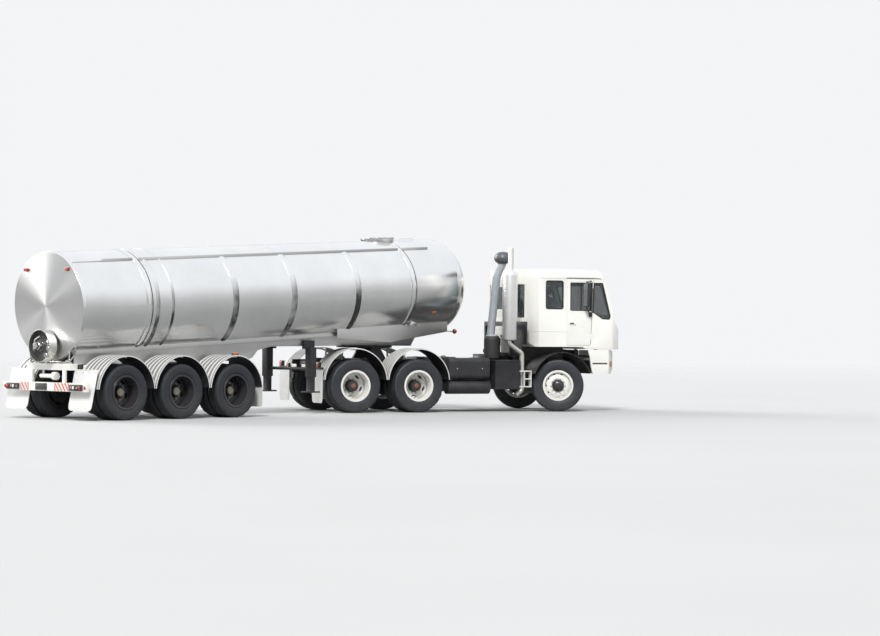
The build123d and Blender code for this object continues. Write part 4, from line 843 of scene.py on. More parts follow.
tankLook = {
    "segments": 144,
    "bands": ((-6.34, 0.09), (-5.98, 0.06), (-4.46, 0.15), (-2.97, 0.15), (-1.26, 0.15)),      # (x, width)
    "bandProud": 0.014, "seams": (-7.98, -6.62, 0.215, 1.60),
    "hoops": ((-6.53, 0.0), (0.305, 0.39)), "hoopWidth": 0.110, "hoopProud": 0.016,      # (x, half opening on top)
    "headCone": ((0.0, 0.0), (0.004, 0.004), (0.838, 0.066), (0.958, 0.070)),   # in from the rim, out from the edge
    "domeSteps": 14, "domeEdge": 0.55,
}
tankAlongX = Matrix.Rotation(math.radians(-90), 4, "Z")     # lathe Y to tank X


def domeProfile(depth, radius):
    # the same crown and edge arcs as the tank's domed end
    rim = depth * tankLook["domeEdge"]
    shares = ((0.0, 0.0), (0.03, 0.27), (0.12, 0.52), (0.28, 0.78), (0.55, 1.02))
    points = [(radius - rim * inward, rim * out) for inward, out in shares]
    edgeRadius, edgeDepth = points[-1]
    for i in range(1, tankLook["domeSteps"] + 1):
        t = i / tankLook["domeSteps"]
        r = edgeRadius * (1 - t)
        points.append((r, depth + (edgeDepth - depth) * (r / edgeRadius) ** 2))
    return points


def makeTankShell():
    # materials: shell, spun head, seam bands that carry a painted dark reflection
    look, size = tankLook, tankShape
    radius = size["radius"]
    profile = [(radius - inward, size["rear"] - out) for inward, out in reversed(look["headCone"])]
    headSpans = len(profile) - 1
    stops = []
    for x, width in look["bands"]:
        for share in (-1, -0.96, -0.8, -0.6, -0.35, 0, 0.35, 0.6, 0.8, 0.96, 1):
            rise = 0 if abs(share) == 1 else look["bandProud"] * (1.12 - share ** 2)
            stops.append((x + width * share / 2, rise))
    for x in look["seams"]:
        stops += [(x - 0.02, 0), (x - 0.006, 0.0015), (x, 0.003), (x + 0.006, 0.0015), (x + 0.02, 0)]
    profile += [(radius + rise, x) for x, rise in sorted(stops)]
    profile += [(r, size["front"] + out) for r, out in domeProfile(size["frontDepth"], radius)]
    spans = []
    for k, (a, b) in enumerate(zip(profile, profile[1:])):
        middle = (a[1] + b[1]) / 2
        onBand = any(abs(middle - x) < width / 2 for x, width in look["bands"])
        spans.append(1 if k < headSpans else 2 if onBand else 0)
    bm = bmesh.new()
    addLathe(bm, profile, spans, look["segments"], tankAlongX)
    finishPiece("tankShell", bm, tankFrame, "trailer", "tankSteel headSteel bandSteel", ["tank_barrel"],
                25)


def makeTankHoops():
    # bright hoops with a black strip at the front edge: painted shade for the gap between hoop and shell
    look, radius = tankLook, tankShape["radius"]
    half, proud = look["hoopWidth"] / 2, look["hoopProud"]
    bm = bmesh.new()
    for x, opening in look["hoops"]:
        rise = ((-0.004, -half), (0.004, -half), (proud * 0.5, -half + 0.006), (proud, -half * 0.6))
        loop = [(radius + up, x + along) for up, along in rise]
        loop += [(radius + up, x - along) for up, along in reversed(rise)]
        strip = [(radius - 0.004, x + half), (radius + 0.005, x + half), (radius + 0.005, x + half + 0.016),
                 (radius - 0.004, x + half + 0.016)]
        start = math.asin(opening / radius)
        for mat, outline in enumerate((loop, strip)):
            addBand(bm, outline, start, 2 * math.pi - start, look["segments"], mat, tankAlongX)
    finishPiece("tankHoops", bm, tankFrame, "trailer", "hoopSteel blackRubber", ["tank_hoops"], 40)


makeTankShell()
makeTankHoops()
print("stage: tank")


# The rest of the CAD pieces, edges rounded and given their finishes

hoodLook = {"axisHeight": 1.290, "mouth": -8.20, "mouthRadius": 0.255}
windowBand = {"side": 1.1, "heights": (1.84, 2.64)}     # where the rims of the cab's side windows are


def byHeight(stops):
    # the material index changes at each height, in metres above the ground
    return lambda face: sum(face.calc_center_median().z > stop for stop in stops)


def hoodInside(face):
    # 1, a dark paint, for the faces that look in towards the hood's own axis or back out of its mouth: painted shade
    # inside the hood
    at = trailerFrame.inverted() @ face.calc_center_median()
    normal = trailerFrame.to_3x3().inverted() @ face.normal
    up = at.z - hoodLook["axisHeight"]
    inward = Vector((0, at.y, up)).dot(normal) < -0.02
    deep = normal.x < -0.9 and at.x > hoodLook["mouth"] and math.hypot(at.y, up) < hoodLook["mouthRadius"]
    return 1 if inward or deep else 0


def windowEdge(edge):
    low, high = windowBand["heights"]
    middle, side = tractorFrame.translation.y, windowBand["side"]
    return all(abs(v.co.y - middle) >= side and low < v.co.z < high for v in edge.verts)


edgeRows = (     # finish and slot, then the width of each piece's rounded edges, in metres
    ("frameBlack", "chassis_black", {"chassis_frame": 0.004, "front_axle": 0.006, "drive_axles": 0.006}),
    ("engineIron", "engine_grey", {"engine_block": 0.015}),
    ("frameBlack", "chassis_black", {"fifth_wheel": 0.006, "side_tanks": 0.004, "battery_box": 0.012}),
    ("guardWhite", "cab_white", {"cab_steps": 0.003}),
    ("blackPlastic", "black_plastic", {"front_arches": 0.002}),
    ("cabWhite", "cab_white", {"front_bumper": 0.014, "cab_shell": 0.016, "door_panel_left": 0.006,
                               "door_panel_right": 0.006}),
    ("blackPlastic", "black_plastic", {"mirror_left": 0.010, "mirror_right": 0.010, "front_grille": 0.003}),
    ("dashPlastic", "dash_grey", {"dashboard": 0.008}),
    ("frameBlack", "chassis_black", {"knuckle_left": 0.006, "knuckle_right": 0.006}),
    ("brightSteel", "bright_metal", {"spill_rails": 0.002, "manhole_collar": 0.006, "manhole_lid": 0.006}),
    ("frameSilver", "bright_metal", {"trailer_frame": 0.003}),
    ("frameBlack", "chassis_black", {"coupler_plate": 0.003, "landing_legs": 0.006, "trailer_axles": 0.005}),
    ("cabWhite", "cab_white", {"rear_beam": 0.005}),
    ("pipePale shieldSteel pipePale", "stack_steel", {"exhaust_stack": 0.004}),
    ("blackRubber ductGrey bowlGrey", "black_rubber", {"air_intake": 0.004}),
)
finishHeights = {"exhaust_stack": (1.41, 2.825), "air_intake": (1.50, 2.95)}     # where the finish changes


def softenAll():
    for finish, slot, widths in edgeRows:
        for node, width in widths.items():
            fine = windowEdge if node in ("cab_shell", "door_panel_left", "door_panel_right") else None
            softened(node, finish, width, byHeight(finishHeights.get(node, ())), fine)
    softened("valve_hood", "hoodSteel boxDark", 0.004, hoodInside)
    for node in ("cab_glass", "door_glass_left", "door_glass_right"):
        frame["nodes"][node].data.materials.clear()
        frame["nodes"][node].data.materials.append(materials["windowGlass"])


softenAll()
print("stage: other pieces")


# Mudguards and flaps

guardLook = {
    "inner": 0.600, "outer": 1.212, "ribs": 6, "ribHeight": 0.010, "wall": 0.008, "steps": 44,
    "arm": 0.016, "armUnder": 0.021, "armEnd": 1.172, "post": 0.020, "postFoot": 0.860,
    "drive": {"radius": 0.652, "height": 0.598, "foot": 0.046, "armStart": 0.4453, "places": (-3.010, -4.337)},
    "trailer": {"radius": 0.640, "height": 0.490, "foot": 0.062, "armStart": 0.5003,
                "places": (-4.649, -5.946, -7.243)},
}


def guardSection(radius):
    # across the guard: (y, radius, material) of its ribbed back, rolled edge and plain underside
    look = guardLook
    inner, outer, wall = look["inner"], look["outer"], look["wall"]
    pitch = (outer - inner) / look["ribs"]
    # the groove bottoms take material 1, a dark grey: painted shade in the grooves
    rib = ((0.20, 0, 1), (0.27, 0.8, 0), (0.36, 1, 0), (0.64, 1, 0), (0.73, 0.8, 1), (0.80, 0, 1))
    points = [(inner, radius, 0)]
    for n in range(look["ribs"]):
        foot = inner + pitch * n
        for share, rise, mat in rib:
            points.append((foot + pitch * share, radius + rise * look["ribHeight"] - (0 if rise else 0.003), mat))
    return points + [
        (outer - 0.012, radius, 0), (outer - 0.004, radius + 0.002, 0), (outer, radius - 0.003, 0),
        (outer - 0.001, radius - 0.014, 0), (outer - 0.008, radius - 0.014, 2), (outer - 0.012, radius - wall, 2),
        (inner, radius - wall, 0),
    ]


def addGuard(bm, part, x, side):
    section = guardSection(part["radius"])
    limit = math.acos(part["foot"] / part["radius"])
    rings = []
    for k in range(guardLook["steps"] + 1):
        angle = -limit + 2 * limit * k / guardLook["steps"]
        sine, cosine = math.sin(angle), math.cos(angle)
        rings.append([bm.verts.new((x + r * sine, side * y, part["height"] + r * cosine)) for y, r, _ in section])
    for a, b in zip(rings, rings[1:]):
        for i, (_, _, mat) in enumerate(section):
            j = (i + 1) % len(section)
            colourFaces([bm.faces.new((a[i], a[j], b[j], b[i]))], mat)
    capEnds(bm, rings, 0)


def makeGuards():
    look = guardLook
    for name, side in sides:
        for kind, place, body in (("drive", tractorFrame, "tractor"), ("trailer", trailerFrame, "trailer")):
            part = look[kind]
            start = side * part["armStart"]
            crown = part["height"] + part["radius"] - look["armUnder"]
            bm = bmesh.new()
            for x in part["places"]:
                addGuard(bm, part, x, side)
                addRod(bm, (x, start, crown), (x, side * look["armEnd"], crown), look["arm"])
                if kind == "drive":
                    addRod(bm, (x, start, look["postFoot"]), (x, start, crown + 0.020), look["post"])
            if kind == "drive":
                # the bar that carries the rear flaps
                bar = part["places"][1] - part["radius"] - 0.040
                addBox(bm, (bar - 0.020, side * 0.4253, 0.840), (bar + 0.020, side * 1.190, 0.880), 2, 0.004)
            finishPiece(f"{kind}Guards.{name}", bm, place, body, "guardWhite guardGroove frameBlack",
                        [f"{kind}_mudguards_{name}"], 40)


flapLook = {
    "corner": 0.095, "thick": 0.008, "rows": 14, "ripple": 0.004, "bolt": 0.012, "bolts": 4,
    # each flap's x, sides, heights and how far its foot is carried back
    "trailer": ((-7.900, (0.572, 1.198), (0.172, 0.868), 0.148), (-4.0028, (0.702, 1.188), (0.182, 0.558), 0.0)),
    "tractor": ((-5.037, (0.642, 1.198), (0.192, 0.838), 0.0),),
    # the rearmost flaps' bolts: x from and to, height, the first one's y and their pitch
    "trailerBolts": (-7.911, -7.896, 0.835, 0.65, 0.16), "tractorBolts": (-5.041, -5.035, 0.82, 0.70, 0.14),
}


def rectangle(u, v):
    return [(u[0], v[0]), (u[1], v[0]), (u[1], v[1]), (u[0], v[1])]


def addFlap(bm, x, y, z, lean):
    # a rubber sheet across the vehicle, rippled a little and leaning more towards its foot
    look = flapLook
    outline = roundedOutline(rectangle(sorted(y), z), [look["corner"], look["corner"], 0.004, 0.004], 6)
    before = set(bm.verts)
    addPrism(bm, outline, "x", x, x + look["thick"], 0)
    made = [v for v in bm.verts if v not in before]
    for k in range(1, look["rows"]):
        height = z[0] + (z[1] - z[0]) * k / look["rows"]
        geom = list({f for v in made for f in v.link_faces}) + list({e for v in made for e in v.link_edges}) + made
        cut = bmesh.ops.bisect_plane(bm, geom=geom, plane_co=(0, 0, height), plane_no=(0, 0, 1))
        made += [g for g in cut["geom_cut"] if isinstance(g, bmesh.types.BMVert)]
    for v in set(made):
        share = (z[1] - v.co.z) / (z[1] - z[0])
        v.co.x += -lean * share + look["ripple"] * math.sin(v.co.y * 16) * share


def makeFlaps():
    look = flapLook
    for body, place in (("trailer", trailerFrame), ("tractor", tractorFrame)):
        bm = bmesh.new()
        start, end, height, first, pitch = look[body + "Bolts"]
        for side in (1, -1):
            for x, (inner, outer), z, lean in look[body]:
                addFlap(bm, x, (side * inner, side * outer), z, lean)
            for n in range(look["bolts"]):
                y = side * (first + n * pitch)
                addRod(bm, (start, y, height), (end, y, height), look["bolt"], 1, 10)
        finishPiece(body + "Flaps.sheets", bm, place, body, "flapWhite nutSteel", [body + "_flaps"], 40)


makeGuards()
makeFlaps()
print("stage: guards and flaps")


# The trailer's rear end, lamps and small parts

rearLook = {
    "beamFace": -8.110, "beamHeights": (0.512, 0.648), "stripePitch": 0.092, "stripeWidth": 0.046, "stripeLean": 0.10,
    "stripeRuns": ((-0.680, -0.275), (0.440, 0.690)), "plate": (-0.084, 0.244), "plateHeights": (0.520, 0.640),
    "cluster": (0.702, 1.058), "clusterHeights": (0.522, 0.628), "clusterFace": -8.140,
    "clusterLamps": ((0.16, 4), (0.38, 3), (0.60, 4), (0.84, 1)),      # share of the way out, material
    "reflector": (-8.106, 1.108, 0.028),                               # x, y and radius
}


def makeStripes():
    look = rearLook
    low, high = look["beamHeights"]
    face, width, lean = look["beamFace"], look["stripeWidth"], look["stripeLean"]
    bm = bmesh.new()
    for start, end in look["stripeRuns"]:
        addBox(bm, (face - 0.0012, start, low), (face + 0.001, end, high), 1)
        y = start - lean
        while y < end:
            corners = [(y, low), (y + width, low), (y + width + lean, high), (y + lean, high)]
            clipped = [(min(max(u, start), end), v) for u, v in corners]
            if clipped[1][0] - clipped[0][0] + clipped[2][0] - clipped[3][0] > 0.02:
                addPrism(bm, clipped, "x", face - 0.0022, face - 0.001, 0)
            y += look["stripePitch"]
    finishPiece("beamStripes", bm, trailerFrame, "trailer", "stripeRed cabWhite")
    bm = bmesh.new()
    (left, right), (foot, top) = look["plate"], look["plateHeights"]
    addBox(bm, (-8.1225, left, foot), (-8.1195, right, top), 0, 0.001)
    for y in (left + 0.03, right - 0.03):
        addRod(bm, (-8.124, y, 0.60), (-8.120, y, 0.60), 0.006, 1, 8)
    finishPiece("rearPlate", bm, trailerFrame, "trailer", "blackPlastic nutSteel")


def addLens(bm, x, y, z, half, mat):
    # a lamp that faces the rear: a dark bezel and a lens that stands proud of it
    for near, far, grow, part, bevel in ((x, x - 0.008, 0.006, 0, 0.003), (x - 0.002, x - 0.016, 0, mat, 0.006)):
        wide, tall = half[0] + grow, half[1] + grow
        addBox(bm, (near, y - wide, z - tall), (far, y + wide, z + tall), part, bevel)


def addRoundLens(bm, x, y, z, radius, mat, bezel):
    addRod(bm, (x, y, z), (x - 0.008, y, z), radius + 0.006, bezel, 24, 0.002)
    place, _ = alongAxis((x - 0.004, y, z), (x - 0.02, y, z))
    dome = [(radius, 0), (radius, 0.006), (radius * 0.8, 0.013), (radius * 0.4, 0.017), (0, 0.018)]
    addLathe(bm, dome, mat, 24, place)


def makeTrailerLamps():
    look = rearLook
    bm = bmesh.new()
    (inner, outer), (foot, top), face = look["cluster"], look["clusterHeights"], look["clusterFace"]
    x, across, radius = look["reflector"]
    middle = (foot + top) / 2
    for side in (1, -1):
        addBox(bm, (face, side * inner, foot), (-8.1103, side * outer, top), 0, 0.006)
        for share, mat in look["clusterLamps"]:
            y = side * (inner + (outer - inner) * share)
            if mat == 4:
                addRod(bm, (face - 0.001, y, middle), (face + 0.001, y, middle), 0.020, 4, 20)
            else:
                addLens(bm, face, y, middle, (0.024, 0.026), mat)
        addRoundLens(bm, x, side * across, middle, radius, 1, 4)
    finishPiece("trailerLamps.rear", bm, trailerFrame, "trailer", "blackPlastic lensRed lensAmber lensClear nutSteel",
                ["trailer_lamps"])


markerLook = {
    "head": (-8.052, 0.567, 0.645), "barrel": (1.020, 0.820, 1.978), "barrelTurn": 31, "guard": (-4.649, 1.150, 1.145),
    "stalk": ((1.50, 1.612), (1.62, 1.600), (1.96, 1.592)), "stalkAt": 0.50, "stalkRadius": 0.011, "stalkLamp": 2.010,
    "bracket": ((0.44, 1.700), (0.66, 1.700), (0.62, 1.775), (0.50, 1.775)), "bracketAt": (0.655, 0.700),
}


def addStalkLamp(bm, side):
    # the lamp on its stalk at the trailer's nose
    look = markerLook
    y = side * look["stalkAt"]
    addTube(bm, roundedPath([(x, y, z) for x, z in look["stalk"]], 0.05), look["stalkRadius"], 3, 10)
    z = look["stalk"][-1][1]
    place, _ = alongAxis((look["stalkLamp"], y, z), (look["stalkLamp"] - 0.06, y, z))
    addLathe(bm, [(0, 0), (0.040, 0.002), (0.046, 0.012), (0.046, 0.018), (0, 0.018)], 0, 24, place)
    addLathe(bm, [(0.047, 0.018), (0.050, 0.044), (0.036, 0.060), (0.016, 0.067), (0, 0.068)], 1, 24, place)
    addBox(bm, (1.48, y - 0.025, 1.585), (1.56, y + 0.025, 1.640), 3, 0.004)


def makeMarkers():
    # marker lamps on the rear head, on the front dome and on the first guards
    look = markerLook
    bm = bmesh.new()
    for side, right in ((1, 1), (-1, 2)):
        at = Matrix.Translation((look["head"][0], side * look["head"][1], look["head"][2]))
        addBox(bm, (-0.006, -0.052, -0.030), (0.030, 0.052, 0.030), 0, 0.004, at)
        addBox(bm, (-0.034, -0.046, -0.026), (-0.005, 0.0, 0.026), 1, 0.008, at)
        addBox(bm, (-0.034, 0.0, -0.026), (-0.005, 0.046, 0.026), right, 0.008, at)
    finishPiece("headMarkers", bm, tankFrame, "trailer", "blackPlastic lensRed lensAmber")
    bm = bmesh.new()
    for side in (1, -1):
        barrel = Matrix.Translation((look["barrel"][0], side * look["barrel"][1], look["barrel"][2]))
        barrel @= Matrix.Rotation(-side * math.radians(look["barrelTurn"]), 4, "X")
        for reach, (wide, tall), mat in ((0.010, (0.062, 0.026), 0), (0.024, (0.054, 0.019), 2)):
            addBox(bm, (-wide, -side * 0.010, -tall), (wide, side * reach, tall), mat, 0.004, barrel)
        guard = Matrix.Translation((look["guard"][0], side * look["guard"][1], look["guard"][2]))
        addBox(bm, (-0.075, -0.020, -0.010), (0.075, 0.020, 0.022), 0, 0.004, guard)
        addBox(bm, (-0.068, side * 0.010 - 0.014, 0.004), (0.068, side * 0.010 + 0.016, 0.040), 2, 0.008, guard)
        addStalkLamp(bm, side)
        # the bright bracket at the front band's foot
        near, far = (side * y for y in look["bracketAt"])
        addPrism(bm, look["bracket"], "y", near, far, 3, 0.004)
        addRod(bm, (0.55, side * 0.69, 1.737), (0.55, side * 0.715, 1.737), 0.016, 3, 6)
    finishPiece("sideMarkers", bm, trailerFrame, "trailer", "blackPlastic lensRed lensAmber brightSteel")


outletLook = {
    "hub": (-8.150, 0.060, 1.290), "bolts": 6, "boltRing": 0.082, "lever": 0.020, "pipe": 0.014,
    "leverPath": ((-8.13, -0.19, 1.20), (-8.19, -0.19, 1.20), (-8.19, -0.19, 1.36), (-8.13, -0.12, 1.44)),
    "pipePath": ((-8.15, 0.21, 1.18), (-8.20, 0.20, 1.22), (-8.20, 0.16, 1.40), (-8.14, 0.10, 1.46)),
}


def makeOutlet():
    # the outlet's valve work inside the hood
    look = outletLook
    x, y, z = look["hub"]
    bm = bmesh.new()
    for angle in around(look["bolts"], 0.5):
        across, rise = look["boltRing"] * math.sin(angle), look["boltRing"] * math.cos(angle)
        hexNut(bm, (x - 0.030, y + across, z + rise), (-1, 0, 0), 0.024, 0.014, 0)
    place, _ = alongAxis((x - 0.046, y, z), (x - 0.050, y, z))
    cap = [(0.050, 0.0), (0.066, 0.002), (0.070, 0.010), (0.070, 0.026), (0.062, 0.034), (0.030, 0.036), (0, 0.036)]
    addLathe(bm, cap, 0, 36, place)
    for side in (1, -1):
        addBox(bm, (x - 0.068, y + side * 0.066, z - 0.012), (x - 0.054, y + side * 0.100, z + 0.012), 0, 0.004)
    addTube(bm, roundedPath(look["leverPath"], 0.04), look["lever"], 0, 14)
    addTube(bm, roundedPath(look["pipePath"], 0.05), look["pipe"], 1, 12)
    addRod(bm, (-8.205, -0.195, 1.255), (-8.185, -0.195, 1.255), 0.036, 1, 20, 0.004)
    addRod(bm, (-8.18, -0.10, 1.13), (-8.12, -0.10, 1.13), 0.045, 0, 20, 0.006)
    finishPiece("outletFittings", bm, trailerFrame, "trailer", "brightSteel pipePale")


shelfLook = {
    "pipePath": ((-7.99, -0.50, 1.000), (-7.99, -0.30, 1.018), (-7.97, 0.0, 1.010), (-7.97, 0.42, 1.018)),
    "caps": ((-0.44, 0.050), (-0.20, 0.038), (0.12, 0.044), (0.34, 0.036)), "top": 0.984,      # caps: (y, size)
}


def makeShelfParts():
    # the caps and pipe on the rear shelf and the bright V brackets beside it
    look = shelfLook
    top = look["top"]
    bm = bmesh.new()
    addTube(bm, roundedPath(look["pipePath"], 0.05), 0.014, 1, 10)
    for y, size in look["caps"]:
        addRod(bm, (-7.96, y, top), (-7.96, y, top + size), size * 0.8, 0, 18, 0.008)
        addRod(bm, (-7.96, y, top + size), (-7.96, y, top + size + 0.016), size * 0.45, 1, 12, 0.003)
    for side in (1, -1):
        foot = (-7.990, side * 0.520, 1.006)
        addTube(bm, [foot, (-8.000, side * 0.545, 1.150), (-7.965, side * 0.500, 1.290)], 0.013, 1, 10)
        addTube(bm, [foot, (-7.930, side * 0.585, 1.120)], 0.013, 1, 10)
        addBox(bm, (-8.012, side * 0.53 - 0.03, top), (-7.955, side * 0.53 + 0.03, 1.012), 1, 0.004)
    finishPiece("shelfParts", bm, trailerFrame, "trailer", "pipePale brightSteel")


tankTrimLook = {
    "railTurn": 38, "railEnds": (-7.960, -7.300),
    "handle": ((0.74, 0.960), (0.76, 0.978), (1.10, 0.978), (1.13, 0.958)),
}


def makeTankTrim():
    look, radius = tankTrimLook, tankShape["radius"]
    turn, (rear, front) = math.radians(look["railTurn"]), look["railEnds"]
    bm = bmesh.new()
    for side in (1, -1):
        y, z = side * radius * math.sin(turn), radius * math.cos(turn)
        addBox(bm, (rear, y - 0.005, z - 0.010), (front, y + 0.005, z + 0.016), 0, 0.002)
    addTube(bm, [(x, -0.16, z) for x, z in look["handle"]], 0.005, 0, 8)
    finishPiece("tankTrim", bm, tankFrame, "trailer", "brightSteel")


makeStripes()
makeTrailerLamps()
makeMarkers()
makeOutlet()
makeShelfParts()
makeTankTrim()
print("stage: trailer trim")


# The cab's windows, seams, mirrors and lamps

cabLook = {
    "side": 1.200, "seamFoot": (0.734, 1.330), "seamLean": 0.043, "pillar": 0.026, "seal": 0.014, "windowCorner": 0.055,
    "rearWindow": ((-0.270, 0.120), (2.055, 2.625)), "stripProud": 0.003,
    "screenFoot": (1.307, 1.800), "screenTop": (1.055, 2.620), "screenHalf": 1.030, "screenHeights": (1.940, 2.560),
    "seams": ((-0.415, 1.015, 2.672), (-0.560, 0.195, 1.600)),     # roof cap and rear side: x from and to, z
    "dripRail": ((0.190, 0.006, 2.684), (0.800, 0.008, 2.686), (0.960, 0.006, 2.676)),
    "wiperLength": 0.62, "wipers": (-0.70, 0.24), "wiperRadius": 0.006,
}


def seamAt(z):
    foot = cabLook["seamFoot"]
    return foot[0] + (z - foot[1]) * cabLook["seamLean"]


def addSeamStrip(bm, side, foot, top, start, end, proud, mat):
    # a thin strip beside the leaning seam, between two heights
    face = side * cabLook["side"]
    outline = [(seamAt(z) + x, z) for x, z in rectangle((start, end), (foot, top))]
    addPrism(bm, outline, "y", face - side * 0.002, face + side * proud, mat)


def addWindowFrame(bm, points, corner, face, out, axis="y", place=None):
    # white fillets in the opening's corners, mat 0, and a rubber seal round it, mat 1
    steps, seal = 6, cabLook["seal"]
    corners = corner if isinstance(corner, (list, tuple)) else [corner] * len(points)
    outer, inner = roundedOutline(offsetOutline(points, 0.0015), 0.001, steps), roundedOutline(points, corners, steps)
    addFrame(bm, outer, inner, axis, face - out * 0.026, face + out * 0.0004, 0, place)
    outer = roundedOutline(offsetOutline(points, 0.004), corners, steps)
    inner = roundedOutline(offsetOutline(points, -seal), [max(c - seal * 0.5, 0.004) for c in corners], steps)
    addFrame(bm, outer, inner, axis, face - out * 0.030, face + out * 0.004, 1, place)


def addScreen(bm):
    # the windscreen's frame and its wipers
    look = cabLook
    foot, (low, top), half = Vector(look["screenFoot"]), look["screenHeights"], look["screenHalf"]
    run = Vector(look["screenTop"]) - foot
    lean = math.atan2(-run.x, run.y)
    middle = (low + top) / 2
    centre = Vector((foot.x + run.x * (middle - foot.y) / run.y, 0, middle))
    screen = Matrix.Translation(centre) @ Matrix.Rotation(-lean, 4, "Y")
    high = (top - middle) / math.cos(lean)
    addWindowFrame(bm, rectangle((-half, half), (-high, high)), 0.06, 0.0, 1, "x", screen)
    for y in look["wipers"]:
        pivot = Vector((0.012, y, -high - 0.045))
        tip = Vector((0.016, y + look["wiperLength"] * 0.94, -high + 0.045))
        head = screen @ (pivot + Vector((0.012, 0, 0)))
        addRod(bm, screen @ Vector((0.0, pivot.y, pivot.z)), head, 0.016, 1, 16, 0.003)
        arm = [head, screen @ pivot.lerp(tip, 0.5) + Vector((0.010, 0, 0)), screen @ tip]
        blade = [screen @ Vector((0.006, y + 0.10, -high + 0.030)), screen @ Vector((0.006, y + 0.74, -high + 0.052))]
        for path in (arm, blade):
            addTube(bm, path, look["wiperRadius"], 1, 8)


def makeCabTrim():
    look = cabLook
    bm = bmesh.new()
    for side in (1, -1):
        face = side * look["side"]
        addWindowFrame(bm, rectangle(*look["rearWindow"]), look["windowCorner"], face, side)
        front = [(seamAt(2.590) + 0.024, 2.590), (1.004, 2.590), (1.184, 1.922), (1.160, 1.856), (1.000, 1.866),
                 (seamAt(1.998) + 0.024, 1.998)]
        addWindowFrame(bm, front, [0.006, 0.02, 0.05, 0.03, 0.05, 0.006], face, side)
        # black over the pillar, and the seams of the lower panels and of the roof cap
        addSeamStrip(bm, side, 1.985, 2.600, 0.0035, look["pillar"], look["stripProud"], 1)
        addSeamStrip(bm, side, 1.345, 1.985, 0.002, 0.009, 0.001, 2)
        for start, end, z in look["seams"]:
            addBox(bm, (start, face, z - 0.0022), (end, face + side * 0.0012, z + 0.0022), 2)
        addTube(bm, [(x, face + side * proud, z) for x, proud, z in look["dripRail"]], 0.006, 2, 8)
    addScreen(bm)
    finishPiece("cabTrim", bm, tractorFrame, "cab", "cabWhite blackRubber seamGrey", (), 40)


doorLook = {
    "window": (0.278, 2.030, 2.590), "bar": (0.515, 0.530), "mirrorFoot": (1.905, 2.000), "handle": (0.262, 0.350),
    "handleHeights": (1.762, 1.788), "lock": (0.395, 1.745), "mirror": ((1.252, 1.418), (2.118, 2.577)),
}


def makeDoorTrim():
    look = doorLook
    rear, low, high = look["window"]
    for name, side in sides:
        face = side * cabLook["side"]
        bm = bmesh.new()
        window = [(rear, low), (seamAt(low) - 0.024, low), (seamAt(high) - 0.024, high), (rear, high)]
        addWindowFrame(bm, window, [0.03, 0.006, 0.006, 0.03], face, side)
        addSeamStrip(bm, side, 2.015, 2.600, -cabLook["pillar"], -0.0035, cabLook["stripProud"], 1)
        # the quarter light's bar, the mirror's foot, the handle's pull, the lock and the mirror's glass
        addBox(bm, (look["bar"][0], face, low), (look["bar"][1], face - side * 0.022, high), 1)
        foot, (bottom, top) = seamAt(1.95) - 0.040, look["mirrorFoot"]
        addBox(bm, (foot - 0.034, face, bottom), (foot + 0.034, face + side * 0.045, top), 1, 0.012)
        (start, end), (bottom, top) = look["handle"], look["handleHeights"]
        addBox(bm, (start, face, bottom), (end, face + side * 0.026, top), 1, 0.006)
        x, z = look["lock"]
        addRod(bm, (x, face - side * 0.002, z), (x, face + side * 0.006, z), 0.013, 3, 18, 0.002)
        across, heights = look["mirror"]
        pane = roundedOutline(rectangle([side * y for y in across], heights), 0.02, 4)
        addPrism(bm, pane, "x", 0.5425, 0.546, 2)
        finishPiece("doorTrim." + name, bm, tractorFrame, "door_" + name, "cabWhite blackRubber mirrorGlass nutSteel",
                    (), 40)


frontLook = {
    "face": 1.335, "lampMiddle": 0.850, "lampHalf": 0.128, "lampHeights": (0.882, 1.058), "bulbs": (-0.052, 0.052),
    "turnLamp": (1.245, 1.100, 0.955), "band": (0.793, 1.127), "bandHeights": (0.9475, 0.9825),
    "plateHalf": 0.260, "plateHeights": (0.800, 0.910), "fogLamps": (-0.47, 0.47),
}
tailLook = {
    "lamp": 0.570, "lampHeights": (0.822, 0.938), "marker": (0.955, 1.105), "markerHeights": (0.880, 0.985),
    "plate": (0.150, 0.420), "plateHeights": (0.820, 0.925), "fuelCap": (-1.62, 0.81), "straps": (-2.160, -1.620),
}


